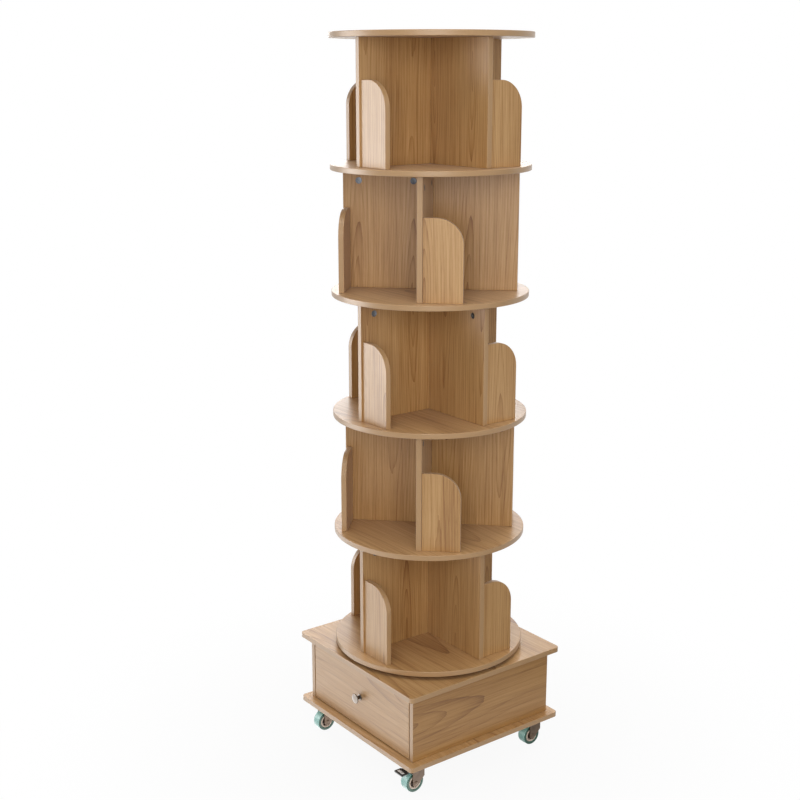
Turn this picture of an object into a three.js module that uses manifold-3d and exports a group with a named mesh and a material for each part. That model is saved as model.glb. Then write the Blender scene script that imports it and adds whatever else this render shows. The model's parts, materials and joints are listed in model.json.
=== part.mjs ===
// Revolving bookcase: a five-tier round tower that turns on a square drawer base with four casters.
// Millimetres, +Z up. The origin is on the floor under the tower's axis. The drawer opens towards -Y.

import * as THREE from 'three';
import { mergeVertices } from 'three/addons/utils/BufferGeometryUtils.js';
import Module from 'manifold-3d';

const wasm = await Module();
wasm.setup();

// Boards and clearances
const BOARD = 12.5; // thickness of every shelf, divider, bookend and panel
const FIT = 0.25; // clearance between neighbouring pieces
const OVERRUN = 5; // how far a cut runs past what it cuts
const EDGE_EASE = 0.8; // eased edge of the discs

// Tower
const TIERS = 5;
const TIER_PITCH = 288.2; // from one shelf disc to the next
const TIER_TURN = Math.PI / 4; // every other cross of dividers is turned by this
const DISC_RADIUS = 230;
const DISC_MARGIN = 27; // from a divider's outer edge to the disc's rim
const BOOKENDS = 4; // one for each arm of a cross
const BOOKEND_WIDTH = 89;
const BOOKEND_HEIGHT = 186;
const BOOKEND_CORNER = 60; // radius of the outer top corner
const BOOKEND_SETBACK = 4; // behind the divider's outer edge

// Base cabinet
const BASE_WIDTH = 462;
const BASE_CORNER = 10;
const BASE_OVERHANG = 20.5; // of the top and bottom panels past the cabinet
const BAY_HEIGHT = 163; // clear height between the two panels
const CASTER_HEIGHT = 75; // from the floor to the bottom panel

// Drawer
const FRONT_GAP = 3; // beside the drawer front
const FRONT_GAP_HIGH = 2.5; // over and under the drawer front
const DRAWER_SIDE_GAP = 6; // between the drawer's side and the cabinet's
const DRAWER_BACK_GAP = 26; // between the shut drawer and the cabinet's back panel
const DRAWER_WALL = 12;
const DRAWER_WALL_HEIGHT = 112;
const DRAWER_LIFT = 16; // of the drawer's walls over the bottom panel
const BOTTOM_SHEET = 4; // the drawer's bottom
const BOTTOM_RISE = 10; // of that sheet over the walls' lower edge
const BOTTOM_GROOVE = 5;
const RUNNER_HEIGHT = 18;
const RUNNER_BITE = 5.5; // how deep the runner reaches into the drawer side
const RUNNER_PLAY = 0.5;
const RUNNER_RISE = 60; // of the runner's middle over the walls' lower edge

// Drawer knob
const KNOB_LENGTH = 17;
const KNOB_HEAD_RADIUS = 12;
const KNOB_HEAD_EDGE = 2.5;
const KNOB_DOME = 1.2;
const KNOB_NECK_RADIUS = 4.5;
const KNOB_NECK_END = 8; // from the drawer front to where the head flares
const KNOB_FOOT_RADIUS = 8;
const KNOB_FOOT_HEIGHT = 2;

// Turntable bearing: two pressed plates and a ring of balls
const BEARING_HEIGHT = 9.5; // from the base's top panel to the lowest disc
const BEARING_INNER = 52;
const BEARING_OUTER = 105;
const BEARING_SHEET = 1.5;
const RACE_RADIUS = 92;
const RACE_HALF_WIDTH = 6;
const RACE_LIP = 1.8; // the race's height over its plate
const BALL_RADIUS = 2.5;
const BALLS = 12;
const CAGE_HALF_WIDTH = 3.6;
const CAGE_SHEET = 0.9;

// Casters
const CASTER_INSET = 46; // from the panel's edges to the swivel axis
const CASTER_PLATE = 44;
const CASTER_PLATE_CORNER = 4;
const CASTER_PLATE_SHEET = 2.5;
const SWIVEL_RACE_RADIUS = 15;
const SWIVEL_RACE_HEIGHT = 3;
const KING_PIN_RADIUS = 4;
const KING_PIN_HEAD_RADIUS = 6.5;
const KING_PIN_HEAD = 1.8;
const SWIVEL_PLAY = 0.3;
const TRAIL = 8; // from the swivel axis back to the axle
const WHEEL_RADIUS = 25;
const WHEEL_WIDTH = 24;
const WHEEL_SHOULDER = 2;
const WHEEL_RIM_RADIUS = 13; // inside of the cream rim
const WHEEL_DISH = 4.5; // depth of the hollow between rim and hub
const HUB_RADIUS = 6.5;
const AXLE_RADIUS = 3.5;
const AXLE_PLAY = 0.3;
const AXLE_HEAD_RADIUS = 5.5;
const AXLE_HEAD = 1.6;
const FORK_SHEET = 2.5;
const FORK_SIDE_GAP = 1.25; // between the tyre and a fork leg
const FORK_TOP_GAP = 4.5; // between the tyre and the fork's crown
const FORK_BACK = 17; // leg's rear edge behind the swivel axis
const FORK_EYE_RADIUS = 9; // round end of a leg at the axle
const FORK_KNEE = 17; // how far the leg's rear edge runs down before it tapers
const FORK_HEAD_RADIUS = 17;
const FORK_HEAD_BEVEL = 3;
const FORK_NECK_RADIUS = 11;

// Brake pedal
const PEDAL_PIN_RADIUS = 1.75;
const PEDAL_PIN_PLAY = 0.3;
const PEDAL_PIN_TRAIL = 16.4; // from the swivel axis
const PEDAL_PIN_RISE = 5; // over the tyre
const PEDAL_HUB_RADIUS = 3.4;
const PEDAL_SHOE_REACH = 5.5;
const PEDAL_SHOE_WIDTH = 2.4;
const PEDAL_WIDTH = 31;
const PEDAL_CORNER = 3;
const PEDAL_SHEET = 3;
const PEDAL_REACH = 50; // from the swivel axis to the pedal's outer edge
const PEDAL_START = 29; // from the swivel axis to the pedal's inner edge
const PEDAL_ARM_SHEET = 3;

// Facets
const DISC_SIDES = 60;
const RING_SIDES = 3 * BALLS; // so that each ball meets a corner of its races
const WHEEL_SIDES = 24;
const TURNED_SIDES = 16;
const PIN_SIDES = 10;
const BALL_SIDES = 8;
const CORNER_STEPS = 5;
const CASTER_PLATE_STEPS = 3;
const GROOVE_STEPS = 2;
const BOOKEND_STEPS = 8;

// Heights, from the floor up
const BOTTOM_PANEL_Z = CASTER_HEIGHT;
const BAY_Z = BOTTOM_PANEL_Z + BOARD;
const TOP_PANEL_Z = BAY_Z + BAY_HEIGHT;
const BEARING_Z = TOP_PANEL_Z + BOARD;
const FIRST_DISC_Z = BEARING_Z + BEARING_HEIGHT;

// Widths, from the axis out
const DIVIDER_REACH = DISC_RADIUS - DISC_MARGIN;
const BASE_HALF = BASE_WIDTH / 2;
const CABINET_HALF = BASE_HALF - BASE_OVERHANG;
const BAY_HALF = CABINET_HALF - BOARD;
const SIDE_HEIGHT = BAY_HEIGHT - 2 * FIT;
const DRAWER_HALF = BAY_HALF - DRAWER_SIDE_GAP;
const DRAWER_WALL_Z = BAY_Z + DRAWER_LIFT;
const RUNNER_Z = DRAWER_WALL_Z + RUNNER_RISE;
const BOTTOM_SHEET_Z = DRAWER_WALL_Z + BOTTOM_RISE;
const FRONT_BACK_Y = -CABINET_HALF + BOARD;
const DRAWER_DEPTH = CABINET_HALF - BOARD - DRAWER_BACK_GAP - FRONT_BACK_Y;

// Finishes
const finish = (color, roughness, metalness = 0) =>
  new THREE.MeshStandardMaterial({ color, roughness, metalness });
const oak = finish(0xb98f62, 0.55);
const sheet = finish(0xc9a57a, 0.6);
const nickel = finish(0xb9b9bd, 0.25, 1);
const zinc = finish(0x9a9da0, 0.4, 1);
const bronze = finish(0x6f5240, 0.45, 0.7);
const mint = finish(0x2f7a68, 0.5);
const black = finish(0x1b1a19, 0.5);

// Shapes

function mesh(name, geometry, material) {
  const piece = new THREE.Mesh(geometry, material);
  piece.name = name;
  return piece;
}

function outline(points) {
  return new THREE.Shape(points.map(([x, y]) => new THREE.Vector2(x, y)));
}

function roundedRectangle(width, depth, radius) {
  const x = width / 2;
  const y = depth / 2;
  const shape = new THREE.Shape();
  shape.absarc(x - radius, y - radius, radius, 0, Math.PI / 2);
  shape.absarc(-x + radius, y - radius, radius, Math.PI / 2, Math.PI);
  shape.absarc(-x + radius, -y + radius, radius, Math.PI, 1.5 * Math.PI);
  shape.absarc(x - radius, -y + radius, radius, 1.5 * Math.PI, 2 * Math.PI);
  return shape;
}

// Extrudes a shape along +Z from zero.
function extrude(shape, depth, curveSegments = CORNER_STEPS) {
  return new THREE.ExtrudeGeometry(shape, { depth, bevelEnabled: false, curveSegments });
}

// Turns a geometry so that its X, Y and Z run along three given axes.
const X = new THREE.Vector3(1, 0, 0);
const Y = new THREE.Vector3(0, 1, 0);
const Z = new THREE.Vector3(0, 0, 1);

function along(geometry, xAxis, yAxis, zAxis) {
  return geometry.applyMatrix4(new THREE.Matrix4().makeBasis(xAxis, yAxis, zAxis));
}

// An outline drawn in X and Z, extruded along Y and centred on it.
function slabAcrossY(shape, thickness, curveSegments) {
  const slab = along(extrude(shape, thickness, curveSegments), X, Z, Y.clone().negate());
  return slab.translate(0, thickness / 2, 0);
}

// An outline drawn in Y and Z, extruded along X and centred on it.
function slabAcrossX(shape, thickness, curveSegments) {
  const slab = along(extrude(shape, thickness, curveSegments), Y, Z, X);
  return slab.translate(-thickness / 2, 0, 0);
}

// Revolves a profile of [radius, height] points about Z.
function revolve(points, sides, phase = 0) {
  const profile = points.map(([radius, height]) => new THREE.Vector2(radius, height));
  return along(new THREE.LatheGeometry(profile, sides, phase), Y, Z, X);
}

function revolveRing(points, sides, phase = 0) {
  return revolve([...points, points[0]], sides, phase);
}

function box(x0, y0, z0, x1, y1, z1) {
  const geometry = new THREE.BoxGeometry(x1 - x0, y1 - y0, z1 - z0);
  return geometry.translate((x0 + x1) / 2, (y0 + y1) / 2, (z0 + z1) / 2);
}

function cylinderAlongX(radius, length, sides) {
  return new THREE.CylinderGeometry(radius, radius, length, sides).rotateZ(Math.PI / 2);
}

// Solids that are joined or cut

function solid(geometry) {
  const bare = geometry.clone();
  bare.deleteAttribute('normal');
  bare.deleteAttribute('uv');
  const merged = mergeVertices(bare, FIT / 1000);
  const vertices = merged.attributes.position.array;
  const corner = (i) => new THREE.Vector3().fromArray(vertices, 3 * i);
  const kept = [];
  let volume = 0;
  for (let i = 0; i < merged.index.count; i += 3) {
    const [a, b, c] = [0, 1, 2].map((k) => merged.index.getX(i + k));
    if (a === b || b === c || c === a) continue;
    kept.push(a, b, c);
    volume += corner(a).dot(corner(b).cross(corner(c)));
  }
  if (volume < 0) kept.reverse();
  return new wasm.Manifold(new wasm.Mesh({
    numProp: 3,
    vertProperties: new Float32Array(vertices),
    triVerts: new Uint32Array(kept),
  }));
}

function geometryOf(manifold) {
  const { vertProperties, triVerts } = manifold.getMesh();
  const geometry = new THREE.BufferGeometry();
  geometry.setAttribute('position', new THREE.BufferAttribute(vertProperties, 3));
  geometry.setIndex(new THREE.BufferAttribute(triVerts, 1));
  return geometry;
}

function join(...geometries) {
  return geometryOf(geometries.map(solid).reduce((whole, part) => whole.add(part)));
}

function cut(geometry, ...tools) {
  return geometryOf(tools.map(solid).reduce((whole, part) => whole.subtract(part), solid(geometry)));
}

// Tower

function disc() {
  const rim = DISC_RADIUS - EDGE_EASE;
  return revolve([
    [0, 0], [rim, 0], [DISC_RADIUS, EDGE_EASE],
    [DISC_RADIUS, BOARD - EDGE_EASE], [rim, BOARD], [0, BOARD],
  ], DISC_SIDES);
}

// Two dividers cross in each tier. Each has a slot of half its height, so that they slide together.
const DIVIDER_HEIGHT = TIER_PITCH - BOARD - 2 * FIT;

function divider(slotFromTop) {
  const slot = BOARD / 2 + FIT;
  const slotEnd = DIVIDER_HEIGHT / 2 + (slotFromTop ? -FIT : FIT) / 2;
  const open = slotFromTop ? DIVIDER_HEIGHT : 0;
  const shut = DIVIDER_HEIGHT - open;
  const shape = outline([
    [-DIVIDER_REACH, shut], [DIVIDER_REACH, shut], [DIVIDER_REACH, open],
    [slot, open], [slot, slotEnd], [-slot, slotEnd], [-slot, open], [-DIVIDER_REACH, open],
  ]);
  return slabAcrossY(shape, BOARD);
}

// A bookend stands square to its divider, beside the outer edge, with a large round outer corner.
function bookend() {
  const shape = new THREE.Shape();
  shape.moveTo(0, 0);
  shape.lineTo(BOOKEND_WIDTH, 0);
  shape.absarc(BOOKEND_WIDTH - BOOKEND_CORNER, BOOKEND_HEIGHT - BOOKEND_CORNER, BOOKEND_CORNER, 0, Math.PI / 2);
  shape.lineTo(0, BOOKEND_HEIGHT);
  return slabAcrossX(shape, BOARD, BOOKEND_STEPS);
}

function tier(number) {
  const group = new THREE.Group();
  group.position.z = FIRST_DISC_Z + BOARD + (number - 1) * TIER_PITCH + FIT;
  group.rotation.z = number % 2 ? 0 : TIER_TURN;
  const lower = mesh(`tier_${number}_divider_lower`, divider(true), oak);
  const upper = mesh(`tier_${number}_divider_upper`, divider(false), oak);
  upper.rotation.z = Math.PI / 2;
  group.add(lower, upper);
  for (let i = 1; i <= BOOKENDS; i += 1) {
    const arm = new THREE.Group();
    arm.rotation.z = (i - 2) * 2 * Math.PI / BOOKENDS;
    const piece = mesh(`tier_${number}_bookend_${i}`, bookend(), oak);
    piece.position.set(DIVIDER_REACH - BOOKEND_SETBACK - BOARD / 2, BOARD / 2 + FIT, 0);
    arm.add(piece);
    group.add(arm);
  }
  return group;
}

function tower() {
  const group = new THREE.Group();
  for (let number = 1; number <= TIERS; number += 1) group.add(tier(number));
  for (let number = 1; number <= TIERS + 1; number += 1) {
    const piece = mesh(`disc_${number}`, disc(), oak);
    piece.position.z = FIRST_DISC_Z + (number - 1) * TIER_PITCH;
    group.add(piece);
  }
  return group;
}

// Turntable bearing

// A plate lies flat, with a raised race whose groove follows the balls.
function bearingPlate() {
  const lipTop = BEARING_SHEET + RACE_LIP;
  const ballHeight = BEARING_HEIGHT / 2 - FIT;
  const groove = BALL_RADIUS + SWIVEL_PLAY;
  const edge = Math.acos((ballHeight - lipTop) / groove);
  const profile = [
    [BEARING_INNER, 0], [BEARING_OUTER, 0], [BEARING_OUTER, BEARING_SHEET],
    [RACE_RADIUS + RACE_HALF_WIDTH, BEARING_SHEET], [RACE_RADIUS + RACE_HALF_WIDTH, lipTop],
  ];
  for (let i = -GROOVE_STEPS; i <= GROOVE_STEPS; i += 1) {
    const angle = -edge * i / GROOVE_STEPS;
    profile.push([RACE_RADIUS + groove * Math.sin(angle), ballHeight - groove * Math.cos(angle)]);
  }
  profile.push(
    [RACE_RADIUS - RACE_HALF_WIDTH, lipTop], [RACE_RADIUS - RACE_HALF_WIDTH, BEARING_SHEET],
    [BEARING_INNER, BEARING_SHEET],
  );
  return revolveRing(profile, RING_SIDES);
}

function ballCage() {
  const inner = RACE_RADIUS - CAGE_HALF_WIDTH;
  const outer = RACE_RADIUS + CAGE_HALF_WIDTH;
  const half = CAGE_SHEET / 2;
  const ring = revolveRing([[inner, -half], [outer, -half], [outer, half], [inner, half]], RING_SIDES);
  const balls = [];
  for (let i = 0; i < BALLS; i += 1) {
    const ball = new THREE.SphereGeometry(BALL_RADIUS, BALL_SIDES, BALL_SIDES / 2);
    balls.push(along(ball, Y, Z, X).translate(RACE_RADIUS, 0, 0).rotateZ(2 * Math.PI * i / BALLS));
  }
  return join(ring, ...balls);
}

function bearing() {
  const group = new THREE.Group();
  group.position.z = BEARING_Z;
  const lower = mesh('bearing_lower_plate', bearingPlate(), zinc);
  const cage = mesh('bearing_ball_cage', ballCage(), zinc);
  const upper = mesh('bearing_upper_plate', bearingPlate(), zinc);
  lower.position.z = FIT;
  cage.position.z = BEARING_HEIGHT / 2;
  upper.position.z = BEARING_HEIGHT - FIT;
  upper.rotation.x = Math.PI;
  group.add(lower, cage, upper);
  return group;
}

// Base cabinet

const casterPlaces = [
  { name: 'front_left', side: -1, end: -1, braked: false },
  { name: 'front_right', side: 1, end: -1, braked: true },
  { name: 'rear_left', side: -1, end: 1, braked: true },
  { name: 'rear_right', side: 1, end: 1, braked: false },
];
const CASTER_AT = BASE_HALF - CASTER_INSET;
const WHEEL_CENTRE_Z = WHEEL_RADIUS * Math.cos(Math.PI / WHEEL_SIDES);
const CROWN_Z = WHEEL_CENTRE_Z + WHEEL_RADIUS + FORK_TOP_GAP;
const PLATE_Z = CASTER_HEIGHT - CASTER_PLATE_SHEET;

// The caster's screwed plate, its swivel race and its riveted king pin, drawn on the swivel axis.
function casterPlate() {
  const raceZ = PLATE_Z - SWIVEL_RACE_HEIGHT;
  const headZ = CROWN_Z - SWIVEL_PLAY;
  const inPanel = CASTER_HEIGHT + BOARD / 2;
  const plate = extrude(
    roundedRectangle(CASTER_PLATE, CASTER_PLATE, CASTER_PLATE_CORNER),
    inPanel - PLATE_Z,
    CASTER_PLATE_STEPS,
  );
  const pin = revolve([
    [0, inPanel], [SWIVEL_RACE_RADIUS, inPanel], [SWIVEL_RACE_RADIUS, raceZ], [KING_PIN_RADIUS, raceZ],
    [KING_PIN_RADIUS, headZ], [KING_PIN_HEAD_RADIUS, headZ], [KING_PIN_HEAD_RADIUS, headZ - KING_PIN_HEAD],
    [0, headZ - KING_PIN_HEAD],
  ], TURNED_SIDES);
  return join(plate.translate(0, 0, PLATE_Z), pin);
}

function basePanel() {
  return extrude(roundedRectangle(BASE_WIDTH, BASE_WIDTH, BASE_CORNER), BOARD);
}

function bottomPanel() {
  const plates = casterPlaces.map(({ side, end }) =>
    casterPlate().translate(side * CASTER_AT, end * CASTER_AT, 0));
  return join(basePanel().translate(0, 0, BOTTOM_PANEL_Z), ...plates);
}

// A cabinet side with the hardwood runner that is glued to its inner face.
function cabinetSide(side) {
  const board = box(
    side * BAY_HALF, -CABINET_HALF, BAY_Z + FIT,
    side * CABINET_HALF, CABINET_HALF, TOP_PANEL_Z - FIT,
  );
  const reach = BAY_HALF - DRAWER_SIDE_GAP - RUNNER_BITE;
  const runner = box(
    side * reach, FRONT_BACK_Y + FIT, RUNNER_Z - RUNNER_HEIGHT / 2,
    side * (BAY_HALF + BOARD / 2), BAY_HALF - FIT, RUNNER_Z + RUNNER_HEIGHT / 2,
  );
  return join(board, runner);
}

function cabinet() {
  const group = new THREE.Group();
  const top = mesh('base_top_panel', basePanel(), oak);
  top.position.z = TOP_PANEL_Z;
  const back = mesh('base_back_panel', box(
    -BAY_HALF + FIT, CABINET_HALF - BOARD, BAY_Z + FIT,
    BAY_HALF - FIT, CABINET_HALF, BAY_Z + FIT + SIDE_HEIGHT,
  ), oak);
  group.add(
    mesh('base_bottom_panel', bottomPanel(), oak),
    mesh('base_left_side', cabinetSide(-1), oak),
    mesh('base_right_side', cabinetSide(1), oak),
    back,
    top,
  );
  return group;
}

// Drawer

// Section of a drawer side: a groove outside for the runner and one inside for the bottom sheet.
function drawerSide(side) {
  const outer = side * DRAWER_HALF;
  const inner = side * (DRAWER_HALF - DRAWER_WALL);
  const runnerDepth = outer - side * (RUNNER_BITE + RUNNER_PLAY);
  const sheetDepth = inner + side * BOTTOM_GROOVE;
  const runnerHalf = RUNNER_HEIGHT / 2 + RUNNER_PLAY;
  const low = DRAWER_WALL_Z;
  const high = DRAWER_WALL_Z + DRAWER_WALL_HEIGHT;
  const shape = outline([
    [inner, low], [outer, low],
    [outer, RUNNER_Z - runnerHalf], [runnerDepth, RUNNER_Z - runnerHalf],
    [runnerDepth, RUNNER_Z + runnerHalf], [outer, RUNNER_Z + runnerHalf],
    [outer, high], [inner, high],
    [inner, BOTTOM_SHEET_Z + BOTTOM_SHEET + FIT], [sheetDepth, BOTTOM_SHEET_Z + BOTTOM_SHEET + FIT],
    [sheetDepth, BOTTOM_SHEET_Z - FIT], [inner, BOTTOM_SHEET_Z - FIT],
  ]);
  const length = DRAWER_DEPTH - FIT;
  return slabAcrossY(shape, length).translate(0, FRONT_BACK_Y + FIT + length / 2, 0);
}

// The front closes the bay between the cabinet's sides, flush with their edges.
function drawerFront() {
  const low = BAY_Z + FRONT_GAP_HIGH;
  const high = TOP_PANEL_Z - FRONT_GAP_HIGH;
  const groove = FRONT_BACK_Y - BOTTOM_GROOVE;
  const shape = outline([
    [-CABINET_HALF, low], [FRONT_BACK_Y, low],
    [FRONT_BACK_Y, BOTTOM_SHEET_Z - FIT], [groove, BOTTOM_SHEET_Z - FIT],
    [groove, BOTTOM_SHEET_Z + BOTTOM_SHEET + FIT], [FRONT_BACK_Y, BOTTOM_SHEET_Z + BOTTOM_SHEET + FIT],
    [FRONT_BACK_Y, high], [-CABINET_HALF, high],
  ]);
  return slabAcrossX(shape, 2 * (BAY_HALF - FRONT_GAP));
}

function drawerBack() {
  const x = DRAWER_HALF - DRAWER_WALL - FIT;
  const y = FRONT_BACK_Y + DRAWER_DEPTH;
  return box(
    -x, y - DRAWER_WALL, BOTTOM_SHEET_Z + BOTTOM_SHEET + FIT,
    x, y, DRAWER_WALL_Z + DRAWER_WALL_HEIGHT,
  );
}

function drawerBottom() {
  const x = DRAWER_HALF - DRAWER_WALL + BOTTOM_GROOVE - FIT;
  const y = FRONT_BACK_Y - BOTTOM_GROOVE + FIT;
  return box(-x, y, BOTTOM_SHEET_Z, x, FRONT_BACK_Y + DRAWER_DEPTH, BOTTOM_SHEET_Z + BOTTOM_SHEET);
}

// A flared metal knob, turned about -Y.
function knob() {
  const flare = KNOB_LENGTH - KNOB_DOME - KNOB_HEAD_EDGE;
  const profile = revolve([
    [0, 0], [KNOB_FOOT_RADIUS, 0], [KNOB_FOOT_RADIUS, KNOB_FOOT_HEIGHT / 2],
    [KNOB_NECK_RADIUS, KNOB_FOOT_HEIGHT], [KNOB_NECK_RADIUS, KNOB_NECK_END],
    [KNOB_HEAD_RADIUS, flare], [KNOB_HEAD_RADIUS, flare + KNOB_HEAD_EDGE],
    [KNOB_HEAD_RADIUS / 2, KNOB_LENGTH - KNOB_DOME / 4], [0, KNOB_LENGTH],
  ], TURNED_SIDES);
  return profile.rotateX(Math.PI / 2);
}

function drawer() {
  const group = new THREE.Group();
  const handle = mesh('drawer_knob', knob(), nickel);
  handle.position.set(0, -CABINET_HALF - FIT, BAY_Z + BAY_HEIGHT / 2);
  group.add(
    mesh('drawer_front', drawerFront(), oak),
    mesh('drawer_left_side', drawerSide(-1), sheet),
    mesh('drawer_right_side', drawerSide(1), sheet),
    mesh('drawer_back', drawerBack(), sheet),
    mesh('drawer_bottom', drawerBottom(), sheet),
    handle,
  );
  return group;
}

// Casters, each drawn on its swivel axis with the wheel trailing towards -Y

const LEG_INSIDE = WHEEL_WIDTH / 2 + FORK_SIDE_GAP;
const PEDAL_PIN_Z = WHEEL_CENTRE_Z + WHEEL_RADIUS + PEDAL_PIN_RISE;
const CROWN_TOP = CROWN_Z + FORK_SHEET;
const FORK_FRONT = -TRAIL - FORK_EYE_RADIUS;

// Profile of a fork leg: straight in front, round at the axle and tapered behind.
function forkLeg() {
  const kneeZ = CROWN_Z - FORK_KNEE;
  const away = Math.hypot(FORK_BACK + TRAIL, kneeZ - WHEEL_CENTRE_Z);
  const toKnee = Math.atan2(kneeZ - WHEEL_CENTRE_Z, FORK_BACK + TRAIL);
  const tangent = toKnee - Math.acos(FORK_EYE_RADIUS / away);
  const shape = new THREE.Shape();
  shape.moveTo(FORK_FRONT, CROWN_TOP);
  shape.lineTo(FORK_FRONT, WHEEL_CENTRE_Z);
  shape.absarc(-TRAIL, WHEEL_CENTRE_Z, FORK_EYE_RADIUS, -Math.PI, tangent);
  shape.lineTo(FORK_BACK, kneeZ);
  shape.lineTo(FORK_BACK, CROWN_TOP);
  return slabAcrossX(shape, FORK_SHEET);
}

function fork(braked) {
  const headTop = PLATE_Z - SWIVEL_RACE_HEIGHT - SWIVEL_PLAY;
  const headBottom = PEDAL_PIN_Z + PEDAL_SHOE_REACH;
  const legAt = LEG_INSIDE + FORK_SHEET / 2;
  const outside = LEG_INSIDE + FORK_SHEET;
  const crown = box(-outside, -FORK_NECK_RADIUS, CROWN_Z, outside, FORK_BACK, CROWN_TOP);
  const head = revolve([
    [0, CROWN_Z], [FORK_NECK_RADIUS, CROWN_Z], [FORK_NECK_RADIUS, headBottom], [FORK_HEAD_RADIUS, headBottom],
    [FORK_HEAD_RADIUS, headTop - FORK_HEAD_BEVEL], [FORK_HEAD_RADIUS - FORK_HEAD_BEVEL, headTop], [0, headTop],
  ], TURNED_SIDES);
  const axle = cylinderAlongX(AXLE_RADIUS, 2 * outside, PIN_SIDES).translate(0, -TRAIL, WHEEL_CENTRE_Z);
  const heads = [-1, 1].map((side) =>
    cylinderAlongX(AXLE_HEAD_RADIUS, AXLE_HEAD + FORK_SHEET / 2, PIN_SIDES)
      .translate(side * (outside + (AXLE_HEAD - FORK_SHEET / 2) / 2), -TRAIL, WHEEL_CENTRE_Z));
  const legs = [-1, 1].map((side) => forkLeg().translate(side * legAt, 0, 0));
  const pins = braked
    ? [cylinderAlongX(PEDAL_PIN_RADIUS, 2 * legAt, PIN_SIDES).translate(0, -PEDAL_PIN_TRAIL, PEDAL_PIN_Z)]
    : [];
  const bore = revolve([
    [0, CROWN_Z - OVERRUN], [KING_PIN_RADIUS + SWIVEL_PLAY, CROWN_Z - OVERRUN],
    [KING_PIN_RADIUS + SWIVEL_PLAY, headTop + OVERRUN], [0, headTop + OVERRUN],
  ], TURNED_SIDES);
  return cut(join(crown, head, axle, ...heads, ...legs, ...pins), bore);
}

// The wheel: a soft tyre on a dished hub, bored for the axle. It rests on one of its facets.
function wheel() {
  const half = WHEEL_WIDTH / 2;
  const hubHalf = LEG_INSIDE - AXLE_PLAY;
  const web = half - WHEEL_DISH;
  const bore = AXLE_RADIUS + AXLE_PLAY;
  const side = [
    [WHEEL_RADIUS, half - WHEEL_SHOULDER], [WHEEL_RADIUS - WHEEL_SHOULDER, half], [WHEEL_RIM_RADIUS, half],
    [WHEEL_RIM_RADIUS, web], [HUB_RADIUS, web], [HUB_RADIUS, hubHalf], [bore, hubHalf],
  ];
  const mirrored = side.map(([radius, x]) => [radius, -x]).reverse();
  const turned = revolveRing([...mirrored, ...side], WHEEL_SIDES, Math.PI / WHEEL_SIDES);
  return turned.rotateY(Math.PI / 2);
}

// The pedal turns on a pin between the fork's legs. Its shoe reaches for the tyre.
function pedal() {
  const hubHalf = LEG_INSIDE - AXLE_PLAY;
  const width = 2 * hubHalf;
  const hub = cylinderAlongX(PEDAL_HUB_RADIUS, width, PIN_SIDES);
  const shoe = box(-hubHalf, -PEDAL_SHOE_WIDTH, -PEDAL_SHOE_REACH, hubHalf, 0, 0);
  const armLength = PEDAL_START + PEDAL_CORNER - PEDAL_PIN_TRAIL;
  const arm = box(-hubHalf, -armLength, 0, hubHalf, 0, PEDAL_ARM_SHEET);
  const length = PEDAL_REACH - PEDAL_START;
  const tread = extrude(roundedRectangle(PEDAL_WIDTH, length, PEDAL_CORNER), PEDAL_SHEET)
    .translate(0, PEDAL_PIN_TRAIL - PEDAL_START - length / 2, 0);
  const bore = cylinderAlongX(PEDAL_PIN_RADIUS + PEDAL_PIN_PLAY, width + OVERRUN, PIN_SIDES);
  return cut(join(hub, shoe, arm, tread), bore);
}

function caster({ name, side, end, braked }) {
  const group = new THREE.Group();
  group.position.set(side * CASTER_AT, end * CASTER_AT, 0);
  const roller = mesh(`caster_${name}_wheel`, wheel(), mint);
  roller.position.set(0, -TRAIL, WHEEL_CENTRE_Z);
  group.add(mesh(`caster_${name}_fork`, fork(braked), bronze), roller);
  if (braked) {
    const lever = mesh(`caster_${name}_brake_pedal`, pedal(), black);
    lever.position.set(0, -PEDAL_PIN_TRAIL, PEDAL_PIN_Z);
    group.add(lever);
  }
  return group;
}

const bookcase = new THREE.Group();
bookcase.add(cabinet(), drawer(), bearing(), tower(), ...casterPlaces.map(caster));

export default bookcase;
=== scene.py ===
# %% [markdown]
# # Dressing a revolving bookcase
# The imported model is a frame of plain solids: it says where every board, wheel and bracket is, and how it
# moves. This lesson builds the visible pieces on it: boards of light oak with eased edges, a nickel knob,
# small swivel casters and the fittings that hold it all. Sizes are in metres and are read from the frame
# where it has them.

# %% Load the frame
import json
import math
import random

import bmesh
import bpy
from mathutils import Matrix, Vector

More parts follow.
